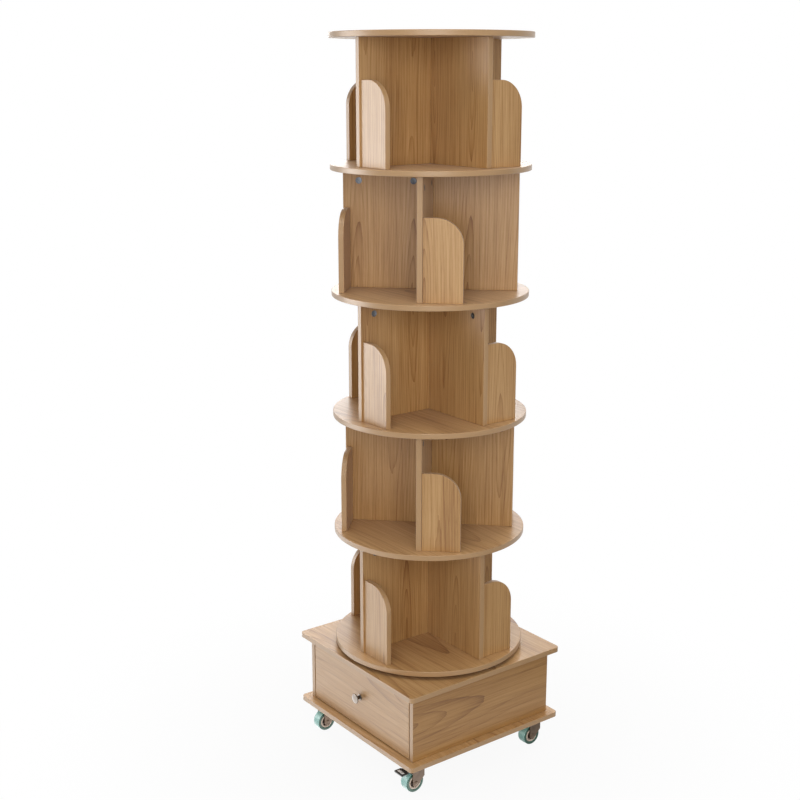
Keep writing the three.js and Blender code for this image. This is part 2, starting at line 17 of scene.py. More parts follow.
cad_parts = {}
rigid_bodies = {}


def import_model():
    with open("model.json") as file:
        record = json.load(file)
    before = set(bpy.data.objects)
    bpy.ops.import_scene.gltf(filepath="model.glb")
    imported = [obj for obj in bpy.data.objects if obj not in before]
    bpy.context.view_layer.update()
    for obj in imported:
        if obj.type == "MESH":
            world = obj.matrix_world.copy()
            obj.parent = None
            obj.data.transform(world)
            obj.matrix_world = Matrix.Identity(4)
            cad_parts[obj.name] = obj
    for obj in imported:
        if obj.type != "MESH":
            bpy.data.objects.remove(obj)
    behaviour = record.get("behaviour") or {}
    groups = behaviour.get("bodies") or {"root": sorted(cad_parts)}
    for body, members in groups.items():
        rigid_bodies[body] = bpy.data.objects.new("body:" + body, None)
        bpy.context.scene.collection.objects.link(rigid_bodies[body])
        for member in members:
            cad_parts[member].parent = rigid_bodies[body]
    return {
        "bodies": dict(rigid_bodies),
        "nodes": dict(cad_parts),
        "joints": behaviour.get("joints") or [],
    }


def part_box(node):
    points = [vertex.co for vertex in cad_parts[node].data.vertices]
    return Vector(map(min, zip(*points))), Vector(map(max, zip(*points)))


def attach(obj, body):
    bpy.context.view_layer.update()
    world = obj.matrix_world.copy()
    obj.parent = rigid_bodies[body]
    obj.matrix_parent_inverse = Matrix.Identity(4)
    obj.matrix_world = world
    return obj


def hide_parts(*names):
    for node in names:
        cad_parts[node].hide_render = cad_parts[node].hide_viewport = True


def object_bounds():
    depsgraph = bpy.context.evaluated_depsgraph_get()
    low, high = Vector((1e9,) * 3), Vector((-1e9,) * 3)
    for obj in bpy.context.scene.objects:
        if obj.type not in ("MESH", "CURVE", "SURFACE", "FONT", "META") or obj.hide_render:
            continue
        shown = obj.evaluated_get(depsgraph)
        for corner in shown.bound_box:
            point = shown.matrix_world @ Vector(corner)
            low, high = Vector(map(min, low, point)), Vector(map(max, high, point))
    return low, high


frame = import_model()
cad_low, cad_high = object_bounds()
MM = 0.001
UP = Vector((0, 0, 1))
ALONG_X = Vector((1, 0, 0))
ALONG_Y = Vector((0, 1, 0))
QUARTER = math.pi / 2


def shift(x, y, z):
    """A matrix that moves by an offset."""
    return Matrix.Translation((x, y, z))


def spin(angle, axis="Z"):
    """A matrix that turns about an axis."""
    return Matrix.Rotation(angle, 4, axis)


print("frame of", len(frame["nodes"]), "nodes, height", round(cad_high.z, 3))

# %% [markdown]
# ## The camera
# The photograph was taken from the right of the drawer front, at the height of the top shelf and looking
# down a little. A long lens keeps the tower's edges nearly upright. The camera is turned by three plain
# angles: its heading, its pitch and a trace of roll.

# %% Camera
CAMERA_AT = Vector((2.3559, -1.8687, 1.6510))
CAMERA_HEADING = math.radians(52.92)
CAMERA_PITCH = math.radians(14.372)
CAMERA_ROLL = math.radians(-0.028)
CAMERA_LENS = 58.52
SENSOR = 36.0


def aim_camera():
    """Adds the camera: it looks along +Y, is tilted down, then turned to the left by its heading."""
    camera = bpy.data.objects.new("camera", bpy.data.cameras.new("camera"))
    camera.data.lens = CAMERA_LENS
    camera.data.sensor_width = SENSOR
    turn = spin(CAMERA_HEADING) @ spin(QUARTER - CAMERA_PITCH, "X") @ spin(CAMERA_ROLL)
    camera.matrix_world = Matrix.Translation(CAMERA_AT) @ turn
    bpy.context.scene.collection.objects.link(camera)
    bpy.context.scene.camera = camera
    return camera


camera = aim_camera()
print("camera looks", tuple(round(v, 3) for v in camera.matrix_world.to_3x3() @ Vector((0, 0, -1))))

# %% [markdown]
# ## Node helpers
# A procedural material is a small chain of nodes. A few short helpers keep the chains readable: one adds a
# node and feeds its inputs, another does a step of arithmetic, and three make noise. Colours are named as
# they look on the screen, and are turned into the linear values that Blender computes with.

# %% Node helpers


def tone(red, green, blue):
    """A screen colour, from 0 to 255 each, as a linear colour with full alpha."""
    linear = []
    for value in (red, green, blue):
        share = value / 255
        linear.append(share / 12.92 if share <= 0.04045 else ((share + 0.055) / 1.055) ** 2.4)
    return (*linear, 1.0)


def feed(tree, socket, value):
    """Links an input to another socket, or sets its value."""
    if isinstance(value, bpy.types.NodeSocket):
        tree.links.new(value, socket)
    else:
        socket.default_value = value


def add(tree, kind, inputs=(), **settings):
    """Adds a shader node, sets its options, and feeds its inputs with values or sockets."""
    node = tree.nodes.new("ShaderNode" + kind)
    for name, value in settings.items():
        setattr(node, name, value)
    for name, value in dict(inputs).items():
        feed(tree, node.inputs[name], value)
    return node


def calc(tree, operation, first, second=0.0, third=0.0):
    """One step of arithmetic on sockets or numbers."""
    return add(tree, "Math", {0: first, 1: second, 2: third}, operation=operation).outputs[0]


def noise(tree, place, scale=1.0, detail=3.0, roughness=0.5, kind="3D"):
    """Noise between 0 and 1, in one, two or three dimensions."""
    where = "W" if kind == "1D" else "Vector"
    inputs = {where: place, "Scale": scale, "Detail": detail, "Roughness": roughness}
    return add(tree, "TexNoise", inputs, noise_dimensions=kind).outputs[0]


def stretched(tree, place, factors):
    """A place whose three numbers are each multiplied by a factor."""
    return add(tree, "VectorMath", {0: place, 1: factors}, operation="MULTIPLY").outputs[0]


def streaks(tree, place, along, across, detail=3.0, roughness=0.55):
    """Noise drawn out along the grain, with so many features to the metre each way."""
    return noise(tree, stretched(tree, place, (along, across, 0)), 1.0, detail, roughness, "2D")


def wander(tree, value, rate, start, detail=1.0):
    """A smooth random wave along one number."""
    return noise(tree, calc(tree, "MULTIPLY_ADD", value, rate, start), detail=detail, kind="1D")


def colours(tree, value, stops):
    """A ramp from a number to a colour. Stops are (place, colour)."""
    node = add(tree, "ValToRGB", {"Fac": value})
    while len(node.color_ramp.elements) < len(stops):
        node.color_ramp.elements.new(0.5)
    for element, (place, colour) in zip(node.color_ramp.elements, stops):
        element.position = place
        element.color = colour
    return node.outputs[0]


def new_material(name):
    """A material, its node tree and its main shader."""
    material = bpy.data.materials.new(name)
    material.use_nodes = True
    tree = material.node_tree
    return material, tree, tree.nodes["Principled BSDF"]


def connect(tree, shader, **inputs):
    """Feeds a shader's inputs, by their names with _ for a space."""
    for name, value in inputs.items():
        feed(tree, shader.inputs[name.replace("_", " ").title().replace("Ior", "IOR")], value)


def bump(tree, height, distance, strength=0.5):
    """A bump from a height between 0 and 1, with its depth in metres."""
    return add(tree, "Bump", {"Height": height, "Distance": distance, "Strength": strength}).outputs[0]


# %% [markdown]
# ## Light and ground
# The bookcase stood in a pale studio. Its satin boards look flat brown where they mirror nothing bright,
# and take a white veil where they mirror a bright surface. Two broad soft lights give both colour and
# gloss: one beside the camera and one overhead. Three are seen only in the gloss, and lay the veil on the
# faces that look to the left, on those that look down and on the discs. Two are seen only in the colour,
# and lift what looks to the left and to the back. Three black cards give the right-hand faces something
# dark to mirror. The background is white to the camera, and to rays off gloss and through glass, so it adds
# no light to the wood.

# %% Studio
WORLD_LEVEL = 0.38
WORLD_TINT = (1.0, 0.985, 0.965, 1)
WHITE = (1, 1, 1, 1)
FELT = (0.02, 0.02, 0.02, 1)
DARK_CARDS = {
    "dark_wall": (Vector((1.75, 2.05, 1.0)), (3.8, 3.4, 1), (QUARTER, 0, math.radians(-40))),
    "dark_mat": (Vector((0.9, 0.7, 0.001)), (2.4, 2.6, 1), (0, 0, math.radians(-50))),
    "dark_screen": (Vector((2.9, -3.4, 0.9)), (2.6, 2.4, 1), (QUARTER, 0, math.radians(40))),
}
FLOOR_PAINT = (0.4, 0.39, 0.38, 1)
FLOOR_ROUGHNESS = 0.9
FLOOR_WIDTH = 60.0
FLOOR_DROP = 0.2 * MM
FLOOR_SHADOW = 0.07
FLOOR_FADE = 1.1
TOWER_MIDDLE = Vector((0, 0, 0.9))
SOFTBOXES = {
    "window_sheen": (Vector((-2.1, -2.3, 1.1)), TOWER_MIDDLE, 1.9, 2.2, 100.0, "gloss"),
    "floor_sheen": (Vector((-0.9, -1.3, 0.0005)), Vector((-0.9, -1.3, 1.0)), 2.4, 2.4, 36.0, "gloss"),
    "back_sheen": (Vector((-2.75, 1.5, 2.0)), TOWER_MIDDLE, 2.2, 1.2, 32.0, "gloss"),
    "left_light": (Vector((-3.2, 0.35, 1.4)), TOWER_MIDDLE, 1.4, 2.2, 44.0, "colour"),
    "fill_light": (Vector((2.9, -2.1, 1.9)), TOWER_MIDDLE, 2.4, 2.2, 62.0, "all"),
    "top_light": (Vector((0.9, -0.9, 4.2)), TOWER_MIDDLE, 2.2, 2.2, 46.0, "all"),
    "rear_light": (Vector((-1.3, 2.9, 1.9)), TOWER_MIDDLE, 2.2, 2.2, 60.0, "colour"),
}


def softbox(name, place, target, width, height, power, seen_in):
    """A soft rectangle of light that faces a target. It is seen in the wood's gloss, its colour or all."""
    light = bpy.data.objects.new(name, bpy.data.lights.new(name, "AREA"))
    light.data.shape = "RECTANGLE"
    light.data.size = width
    light.data.size_y = height
    light.data.energy = power
    light.location = place
    light.rotation_mode = "QUATERNION"
    light.rotation_quaternion = (target - place).to_track_quat("-Z", "Y")
    light.visible_camera = False
    light.visible_diffuse = seen_in != "gloss"
    light.visible_glossy = seen_in != "colour"
    bpy.context.scene.collection.objects.link(light)


def studio_sheet(name, material, place, size=1, scale=(1, 1, 1), turn=(0, 0, 0)):
    """A flat sheet that belongs to the studio and not to the bookcase."""
    bpy.ops.object.select_all(action="DESELECT")
    bpy.ops.mesh.primitive_plane_add(size=size, location=place, scale=scale, rotation=turn)
    sheet = bpy.context.object
    sheet.name = name
    sheet.data.materials.append(material)
    return sheet


def white_to_camera(tree, shader, share, target):
    """Mixes a shader with plain white for the camera, and for rays off gloss and through glass."""
    rays = add(tree, "LightPath").outputs
    seen = rays["Is Camera Ray"]
    for other in ("Is Glossy Ray", "Is Transmission Ray"):
        seen = calc(tree, "MAXIMUM", seen, rays[other])
    white = add(tree, "Emission", {"Color": WHITE}).outputs[0]
    mix = add(tree, "MixShader", {0: calc(tree, "MULTIPLY", seen, share), 1: shader, 2: white})
    tree.links.new(mix.outputs[0], target.inputs[0])


def away_from_tower(tree):
    """How white the floor looks: short of white under the tower, fully white further out."""
    place = add(tree, "TexCoord").outputs["Object"]
    away = add(tree, "VectorMath", {0: place}, operation="LENGTH").outputs["Value"]
    ends = {"Value": away, "From Max": FLOOR_FADE, "To Min": 1 - FLOOR_SHADOW}
    return add(tree, "MapRange", ends, interpolation_type="SMOOTHSTEP").outputs[0]


def build_studio():
    """White surroundings, a pale floor, the soft lights and the black cards."""
    for name, settings in SOFTBOXES.items():
        softbox(name, *settings)
    felt, tree, shader = new_material("black felt")
    connect(tree, shader, base_color=FELT, roughness=1.0)
    for name, (place, scale, turn) in DARK_CARDS.items():
        card = studio_sheet(name, felt, place, scale=scale, turn=turn)
        card.visible_camera = card.visible_diffuse = card.visible_shadow = False
    world = bpy.data.worlds.new("studio")
    bpy.context.scene.world = world
    world.use_nodes = True
    tree = world.node_tree
    glow = tree.nodes["Background"]
    connect(tree, glow, color=WORLD_TINT, strength=WORLD_LEVEL)
    white_to_camera(tree, glow.outputs[0], 1.0, tree.nodes["World Output"])
    paint, tree, shader = new_material("studio floor")
    connect(tree, shader, base_color=FLOOR_PAINT, roughness=FLOOR_ROUGHNESS)
    white_to_camera(tree, shader.outputs[0], away_from_tower(tree), tree.nodes["Material Output"])
    studio_sheet("floor", paint, (0, 0, cad_low.z - FLOOR_DROP), FLOOR_WIDTH)


build_studio()
bpy.context.scene.view_settings.view_transform = "Standard"
print("studio ready")

# %% [markdown]
# ## Oak veneer
# A plain-sawn board shows its growth rings as nested arches, because the saw cuts the rounds of the trunk
# nearly along their length. The material does what the tree does: it measures how far each point of the
# board lies from a pith that swings up and down, and draws rings at even steps of that distance. A sheet is
# made of leaves laid side by side as mirror images, which a ping-pong function does. Fine streaks and short
# dark pores lie along the grain. The place on the board comes from an attribute named grain, which holds
# how far a point is along the grain, across it and through the board, so the arches follow each board
# however it is turned. Narrow boards have close rings. Discs, panels, the cabinet's back and the drawer's
# front are cut from a sheet with a wide figure. The cabinet's sides have the same figure in darker, more
# saturated tones, which are painted shade for those low faces.

# %% Oak veneer
PITH_TURNS = 4.0
PITH_DRIFT = 0.05
PITH_WANDER = (0.9, 3.0)
RING_WANDER = (0.6, 0.0, 2.0)
RING_CONTRAST = (1.7, -0.2)
LATE_WOOD = 4.0
ARCH_FADE = {"From Min": 0.01, "From Max": 0.07, "To Min": 1.0, "To Max": 0.5}
WAVER = (6.0, 36.0)
WAVER_DEPTH = 0.005
FIBRE = (4.0, 210.0, 4.0, 0.65)
HAIR = (14.0, 620.0, 3.0, 0.6)
STRIPE = (0.8, 13.0, 2.0, 0.5)
PORE = (42.0, 1150.0, 2.0, 0.5)
PORE_EDGE = {"From Min": 0.6, "From Max": 0.72}
PORE_SUNK = -0.8
TONE_START = (0.35, -0.95)
LAYER_WEIGHTS = (0.7, 1.05, 0.4, 0.65, 0.14)
VENEER_RELIEF = 0.12 * MM
SATIN = (0.14, 0.3)
OAK_IOR = 1.55
OAK_SHEEN = 0.1
TONE_PLACES = (0.0, 0.38, 0.75, 1.0)
LIGHT_TONES = (tone(192, 152, 101), tone(174, 132, 80), tone(146, 102, 54), tone(119, 76, 34))
# Darker, more saturated tones for the cabinet's sides: painted shade for those low faces.
SHADED_SIDE_TONES = (tone(179, 136, 80), tone(161, 117, 62), tone(135, 92, 44), tone(110, 69, 30))
PALE_TONES = (tone(216, 190, 152), tone(203, 174, 134), tone(186, 155, 114), tone(168, 136, 96))
WIDE_FIGURE = (62.0, 0.052, 0.13)


def satin(tree, shader, colour, streak, normal):
    """Feeds a wood's shader with its colour, a gloss that follows its streaks, and its relief."""
    rough = calc(tree, "MULTIPLY_ADD", streak, *SATIN)
    connect(tree, shader, base_color=colour, roughness=rough, normal=normal)
    connect(tree, shader, ior=OAK_IOR, sheen_weight=OAK_SHEEN)


def oak_veneer(name, tones, rings=170.0, swing=0.022, leaf=0.065):
    """Melamine-faced oak veneer: rings to the metre, how far the pith swings, and half a leaf's width."""
    material, tree, shader = new_material(name)
    grain = add(tree, "Attribute", attribute_name="grain").outputs["Vector"]
    parts = add(tree, "SeparateXYZ", {0: grain})
    along, across = parts.outputs[0], parts.outputs[1]
    heart = calc(tree, "MULTIPLY_ADD", wander(tree, along, *PITH_WANDER), PITH_DRIFT, -PITH_DRIFT / 2)
    aside = calc(tree, "PINGPONG", calc(tree, "ADD", across, heart), leaf)
    pith = calc(tree, "MULTIPLY", calc(tree, "SINE", calc(tree, "MULTIPLY", along, PITH_TURNS)), swing)
    squares = [calc(tree, "MULTIPLY", leg, leg) for leg in (aside, pith)]
    away = calc(tree, "SQRT", calc(tree, "ADD", *squares))
    waver = calc(tree, "MULTIPLY_ADD", streaks(tree, grain, *WAVER), WAVER_DEPTH, away)
    ring = calc(tree, "MULTIPLY", waver, rings)
    uneven = wander(tree, ring, *RING_WANDER)
    late = calc(tree, "POWER", calc(tree, "FRACT", ring), LATE_WOOD)
    near = add(tree, "MapRange", {"Value": aside, **ARCH_FADE}).outputs[0]
    fibre, hair, stripe, pore = (streaks(tree, grain, *kind) for kind in (FIBRE, HAIR, STRIPE, PORE))
    mark = add(tree, "MapRange", {"Value": pore, **PORE_EDGE}).outputs[0]
    contrast = calc(tree, "MULTIPLY_ADD", uneven, *RING_CONTRAST)
    arches = calc(tree, "MULTIPLY", calc(tree, "MULTIPLY", late, near), contrast)
    depth = calc(tree, "MULTIPLY_ADD", uneven, *TONE_START)
    for layer, weight in zip((arches, fibre, hair, stripe, mark), LAYER_WEIGHTS):
        depth = calc(tree, "MULTIPLY_ADD", layer, weight, depth)
    colour = colours(tree, depth, tuple(zip(TONE_PLACES, tones)))
    relief = calc(tree, "MULTIPLY_ADD", mark, PORE_SUNK, fibre)
    satin(tree, shader, colour, fibre, bump(tree, relief, VENEER_RELIEF))
    return material


oak = oak_veneer("light oak veneer", LIGHT_TONES)
wide_oak = oak_veneer("wide figured oak veneer", LIGHT_TONES, *WIDE_FIGURE)
# The cabinet sides' veneer, whose darker tones are painted shade.
shaded_side_oak = oak_veneer("oak veneer with painted shade", SHADED_SIDE_TONES, *WIDE_FIGURE)
pale = oak_veneer("pale drawer board", PALE_TONES)
print("veneer has", len(oak.node_tree.nodes), "nodes")

# %% [markdown]
# ## Edge banding
# The cut edges of a board are covered by a strip of the same print, whose streaks run along the edge. The
# third number of the grain attribute is the place through the thickness, so noise that is fine in it and
# coarse along the board gives long streaks round every edge, curved ones too.

# %% Edge banding
BAND_TONES = ((0.3, tone(184, 149, 107)), (0.8, tone(161, 124, 83)))
BAND_STREAKS = (16, 16, 620)
BAND_PATCHES = (9, 9, 90)
BAND_RELIEF = 0.05 * MM


def edge_banding(name):
    """A strip of printed oak with streaks along the edge."""
    material, tree, shader = new_material(name)
    grain = add(tree, "Attribute", attribute_name="grain").outputs["Vector"]
    streak = noise(tree, stretched(tree, grain, BAND_STREAKS))
    patch = noise(tree, stretched(tree, grain, BAND_PATCHES), detail=1.0)
    mixed = calc(tree, "MULTIPLY_ADD", patch, 0.5, calc(tree, "MULTIPLY", streak, 0.6))
    satin(tree, shader, colours(tree, mixed, BAND_TONES), streak, bump(tree, streak, BAND_RELIEF, 0.4))
    return material


banding = edge_banding("oak edge banding")
OAK = (oak, banding, "oak_board")
WIDE = (wide_oak, banding, "oak_board")
SHADED_SIDE = (shaded_side_oak, banding, "oak_board")
PALE = (pale, pale, "drawer_board")
print("banding has", len(banding.node_tree.nodes), "nodes")

# %% [markdown]
# ## Modelling helpers
# Every piece starts from a primitive at its real size and place. Edit-mode operators act on what is
# selected, so a helper picks the edges that pass a test and rounds them. Three modifiers finish a board: a
# bevel eases its edges, a boolean cuts slots, and weighted normals keep its flat faces flat in the light.

# %% Modelling helpers
SLIVER = 0.001 * MM
ROUND = 48


def only(piece):
    """Selects one piece and makes it active."""
    bpy.ops.object.select_all(action="DESELECT")
    piece.select_set(True)
    bpy.context.view_layer.objects.active = piece


def settle(piece, name):
    """Names a piece and writes its place, turn and scale into its mesh."""
    only(piece)
    bpy.ops.object.transform_apply(location=True, rotation=True, scale=True)
    piece.name = piece.data.name = name
    return piece


def block(name, low, high):
    """A cuboid between two corners."""
    low, high = Vector(low), Vector(high)
    bpy.ops.object.select_all(action="DESELECT")
    bpy.ops.mesh.primitive_cube_add(size=1, location=(low + high) / 2, scale=high - low)
    return settle(bpy.context.object, name)


def side_block(name, side, inner, outer, low, high):
    """A cuboid between two distances from the middle, on the left (-1) or the right (1)."""
    near, far = sorted((side * inner, side * outer))
    return block(name, (near, *low), (far, *high))


def drum(name, radius, start, end, sides=ROUND):
    """A cylinder on Z between two heights."""
    bpy.ops.object.select_all(action="DESELECT")
    bpy.ops.mesh.primitive_cylinder_add(vertices=sides, radius=radius, depth=end - start,
                                        location=(0, 0, (start + end) / 2))
    return settle(bpy.context.object, name)


def moved(piece, matrix):
    """Moves a piece's mesh by a matrix."""
    piece.data.transform(matrix)
    return piece


def edit(piece, action):
    """Opens a piece in edit mode and selects or deselects all of it."""
    only(piece)
    bpy.ops.object.mode_set(mode="EDIT")
    bpy.ops.mesh.select_all(action=action)


def close(piece):
    """Leaves edit mode."""
    bpy.ops.object.mode_set(mode="OBJECT")
    return piece


def upright(edge):
    """Whether an edge of a piece stands up."""
    run = edge.verts[0].co - edge.verts[1].co
    return abs(run.z) > run.length / 2


def round_edges(piece, radius, steps, test=upright):
    """Rounds the edges of a piece that pass a test."""
    edit(piece, "DESELECT")
    bpy.ops.mesh.select_mode(type="EDGE")
    bpy.ops.mesh.select_all(action="DESELECT")
    shape = bmesh.from_edit_mesh(piece.data)
    for edge in shape.edges:
        if test(edge):
            edge.select_set(True)
    shape.select_flush_mode()
    bmesh.update_edit_mesh(piece.data)
    bpy.ops.mesh.bevel(offset=radius, segments=steps, affect="EDGES")
    return close(piece)


def apply_modifier(piece, kind, **settings):
    """Adds a modifier with its settings and applies it."""
    only(piece)
    modifier = piece.modifiers.new(kind.lower(), kind)
    for name, value in settings.items():
        setattr(modifier, name, value)
    bpy.ops.object.modifier_apply(modifier=modifier.name)
    return piece


def smooth(piece, degrees=40):
    """Smooth shading, broken where faces meet at more than an angle."""
    only(piece)
    bpy.ops.object.shade_smooth_by_angle(angle=math.radians(degrees))
    return piece


def flatten_light(piece):
    """Keeps the flat faces flat in the light."""
    smooth(piece, 60)
    return apply_modifier(piece, "WEIGHTED_NORMAL", weight=100, keep_sharp=True)


def ease(piece, width, segments=3, degrees=40):
    """Rounds every sharp edge a little, and closes up faces that have shrunk to a line."""
    apply_modifier(piece, "BEVEL", width=width, segments=segments, limit_method="ANGLE",
                   angle_limit=math.radians(degrees), use_clamp_overlap=True)
    edit(piece, "SELECT")
    bpy.ops.mesh.dissolve_degenerate(threshold=SLIVER)
    return flatten_light(close(piece))


def merged(piece, extra):
    """Joins another object into a piece."""
    only(piece)
    extra.select_set(True)
    bpy.ops.object.join()
    return piece


def cut_away(piece, *tools, operation="DIFFERENCE"):
    """Cuts tools out of a piece, or trims it to them, and deletes them."""
    for tool in tools:
        apply_modifier(piece, "BOOLEAN", operation=operation, object=tool, solver="EXACT")
        bpy.data.objects.remove(tool)
    return piece


def copy_of(piece, name, matrix=None):
    """A copy with its own mesh, moved by a matrix."""
    twin = piece.copy()
    twin.data = piece.data.copy()
    twin.name = twin.data.name = name
    bpy.context.scene.collection.objects.link(twin)
    return twin if matrix is None else moved(twin, matrix)


def dress(piece, body, slot, *materials, nodes=()):
    """Gives a finished piece its materials, its body and the nodes that it stands for. The slot is not used.
    """
    for material in materials:
        piece.data.materials.append(material)
    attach(piece, body)
    if nodes:
        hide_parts(*nodes)
    return piece


# %% [markdown]
# ## Grain on a board
# Each board of the real bookcase is cut from another part of the sheet. The next helper writes the grain
# attribute with a random shift, so that no two boards show the same arches, and gives the narrow faces the
# edge banding.

# %% Grain on a board
draw = random.Random(26)
SHEET_RUN = 40.0
HEART_SPREAD = 0.07
BACK_SHIFT = 3.7
FLAT = 0.9


def grain_on(piece, along, across, start=None, heart=None):
    """Writes how far each vertex is along the grain, across it and through the board."""
    through = along.cross(across)
    places = [vertex.co for vertex in piece.data.vertices]
    middle = sum(places, Vector()) / len(places)
    start = draw.uniform(-SHEET_RUN, SHEET_RUN) if start is None else start
    heart = draw.uniform(-HEART_SPREAD, HEART_SPREAD) if heart is None else heart
    grain = piece.data.attributes.new("grain", "FLOAT_VECTOR", "POINT")
    for place, item in zip(places, grain.data):
        offset = place - middle
        back = BACK_SHIFT if offset.dot(through) < 0 else 0.0
        item.vector = (offset.dot(along) + start + back, offset.dot(across) - heart, offset.dot(through))
    for face in piece.data.polygons:
        face.material_index = 0 if abs(face.normal.dot(through)) > FLAT else 1


def clad(piece, body, along, across, node=None, skin=OAK, start=None, heart=None):
    """Veneer, banding and grain for a finished board, and the node that it stands for."""
    veneer, edge, slot = skin
    piece.data.materials.clear()
    piece.data.materials.append(veneer)
    piece.data.materials.append(edge)
    grain_on(piece, along, across, start, heart)
    return dress(piece, body, slot, nodes=[node] if node else [])


# %% [markdown]
# ## Discs
# Six round shelves are cut from one template. A many-sided cylinder is close enough to round, and the
# bevel modifier eases its rim. Its grain runs along the width of the base in every disc.

# %% Discs
DISC_SIDES = 180
DISC_EASE = 1.2 * MM
disc_low, disc_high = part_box("disc_1")
tier_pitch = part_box("disc_2")[0].z - disc_low.z
board = disc_high.z - disc_low.z


def lift(number):
    """From the lowest tier up to another."""
    return Matrix.Translation(UP * tier_pitch * (number - 1))


template = ease(drum("disc_template", disc_high.x, disc_low.z, disc_high.z, DISC_SIDES), DISC_EASE)
for number in range(1, 7):
    disc = copy_of(template, f"shelf_{number}", lift(number))
    clad(disc, "tower", ALONG_X, ALONG_Y, f"disc_{number}", WIDE)
bpy.data.objects.remove(template)
print("tier pitch", round(tier_pitch, 4), "board", round(board, 4))

# %% [markdown]
# ## Crossed dividers
# Two boards cross on each shelf. As in a real kit, one is slotted from above and the other from below, so
# that they slide into each other, and a boolean cutter makes the slot. Near the top of each arm are two
# bores for the cam fittings that pull the next disc down. They are cut once the edges are eased, so that
# they stay sharp. One board has its outer bore on the other face, and its fitting is black and sits
# deeper. Every other tier is turned by an eighth of a turn.

# %% Crossed dividers
TIER_TURN = math.pi / 4
SLOT_PLAY = 0.25 * MM
SLOT_OVERRUN = 2 * MM
DIVIDER_EASE = 0.7 * MM
CAM_TIERS = range(1, 5)
CAM_RADIUS = 7.5 * MM
CAM_DEPTH = 9 * MM
CAM_SUNK = 0.25 * MM
CAM_PLAY = 0.2 * MM
CAM_DROP = 27.5 * MM
CAM_PLACES = (39 * MM, 166 * MM)
TURNED_BORE = (3, "lower")
TURNED_PLACE = 161 * MM
TURNED_SUNK = 2 * MM
cam_z = disc_low.z + tier_pitch - CAM_DROP
cam_seats = [spin(turn) @ shift(place, board / 2, cam_z) @ spin(-QUARTER, "X")
             for turn in (0, math.pi) for place in CAM_PLACES]
turned_seat = shift(TURNED_PLACE, -board / 2, cam_z) @ spin(QUARTER, "X")


def divider_template(part):
    """A divider along X, on the lowest shelf, with the slot that the other one fits."""
    low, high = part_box(f"tier_1_divider_{part}")
    if part == "upper":
        low, high = low.yxz, high.yxz
    piece = block("divider_" + part, low, high)
    half = board / 2 + SLOT_PLAY
    middle = (low.z + high.z) / 2
    bottom, top = (middle, high.z + SLOT_OVERRUN) if part == "lower" else (low.z - SLOT_OVERRUN, middle)
    slot = block("slot", (-half, -board, bottom), (half, board, top))
    return ease(cut_away(piece, slot), DIVIDER_EASE)


def bored(piece, seats):
    """Bores a divider for its cam fittings."""
    bores = [moved(drum("bore", CAM_RADIUS + CAM_PLAY, -CAM_DEPTH - CAM_PLAY, board), seat) for seat in seats]
    return flatten_light(cut_away(piece, *bores))


def tier_matrix(number, angle=0.0):
    """From the lowest tier, unturned, to a place in another tier."""
    return lift(number) @ spin(angle + (0 if number % 2 else TIER_TURN))


fittings = []
for part, angle in (("lower", 0.0), ("upper", QUARTER)):
    template = divider_template(part)
    for number in range(1, 6):
        matrix = tier_matrix(number, angle)
        piece = copy_of(template, f"divider_{number}_{part}")
        cams = bores = cam_seats if number in CAM_TIERS else []
        if (number, part) == TURNED_BORE:
            cams = [cam_seats[0], *cam_seats[2:]]
            bores = [*cams, turned_seat]
        if bores:
            bored(piece, bores)
        fittings += [matrix @ seat for seat in cams]
        across = matrix.to_3x3() @ ALONG_X
        clad(moved(piece, matrix), "tower", UP, across, f"tier_{number}_divider_{part}")
    bpy.data.objects.remove(template)
print("cam fittings:", len(fittings))

# %% [markdown]
# ## Bookends
# At the end of each divider stands a low board with one large round corner, which keeps the books in. The
# corner is a single edge bevelled in edit mode. The four bookends of a tier follow each other round like
# the arms of a pinwheel.

# %% Bookends
BOOKEND_CORNER = 60 * MM
CORNER_STEPS = 28
BOOKEND_EASE = 0.8 * MM


def bookend_template():
    """The bookend at the end of the lowest tier's +X arm."""
    low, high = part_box("tier_1_bookend_2")
    piece = block("bookend_template", low, high)
    round_edges(piece, BOOKEND_CORNER, CORNER_STEPS,
                lambda edge: all(v.co.y > high.y - MM and v.co.z > high.z - MM for v in edge.verts))
    return ease(piece, BOOKEND_EASE)


template = bookend_template()
for number in range(1, 6):
    for arm in range(1, 5):
        matrix = tier_matrix(number, (arm - 2) * QUARTER)
        piece = copy_of(template, f"bookend_{number}_{arm}", matrix)
        clad(piece, "tower", UP, matrix.to_3x3() @ ALONG_Y, f"tier_{number}_bookend_{arm}")
bpy.data.objects.remove(template)

# %% [markdown]
# ## Base cabinet
# Two square panels with small round corners hold three walls between them. The panels' grain runs along
# the width, the walls' along their length. The sides are placed on the sheet one by one, because each shows
# one large arch.

# %% Base cabinet
SIDES = (("left", -1), ("right", 1))
SIDE_STARTS = {"left": -0.295, "right": 0.263}
SIDE_HEART = 0.012
PANEL_CORNER = 10 * MM
PANEL_STEPS = 10
PANEL_EASE = 0.9 * MM
PANEL_GAP = 0.25 * MM
WALL_EASE = 0.7 * MM
top_low, top_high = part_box("base_top_panel")
side_low, side_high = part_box("base_right_side")
cabinet_half = side_high.x
bay_half = cabinet_half - board
bottom_top = side_low.z - PANEL_GAP
bottom_low = Vector((*top_low.xy, bottom_top - board))


def panel(name, low, high):
    """A square panel with round corners."""
    return ease(round_edges(block(name, low, high), PANEL_CORNER, PANEL_STEPS), PANEL_EASE)


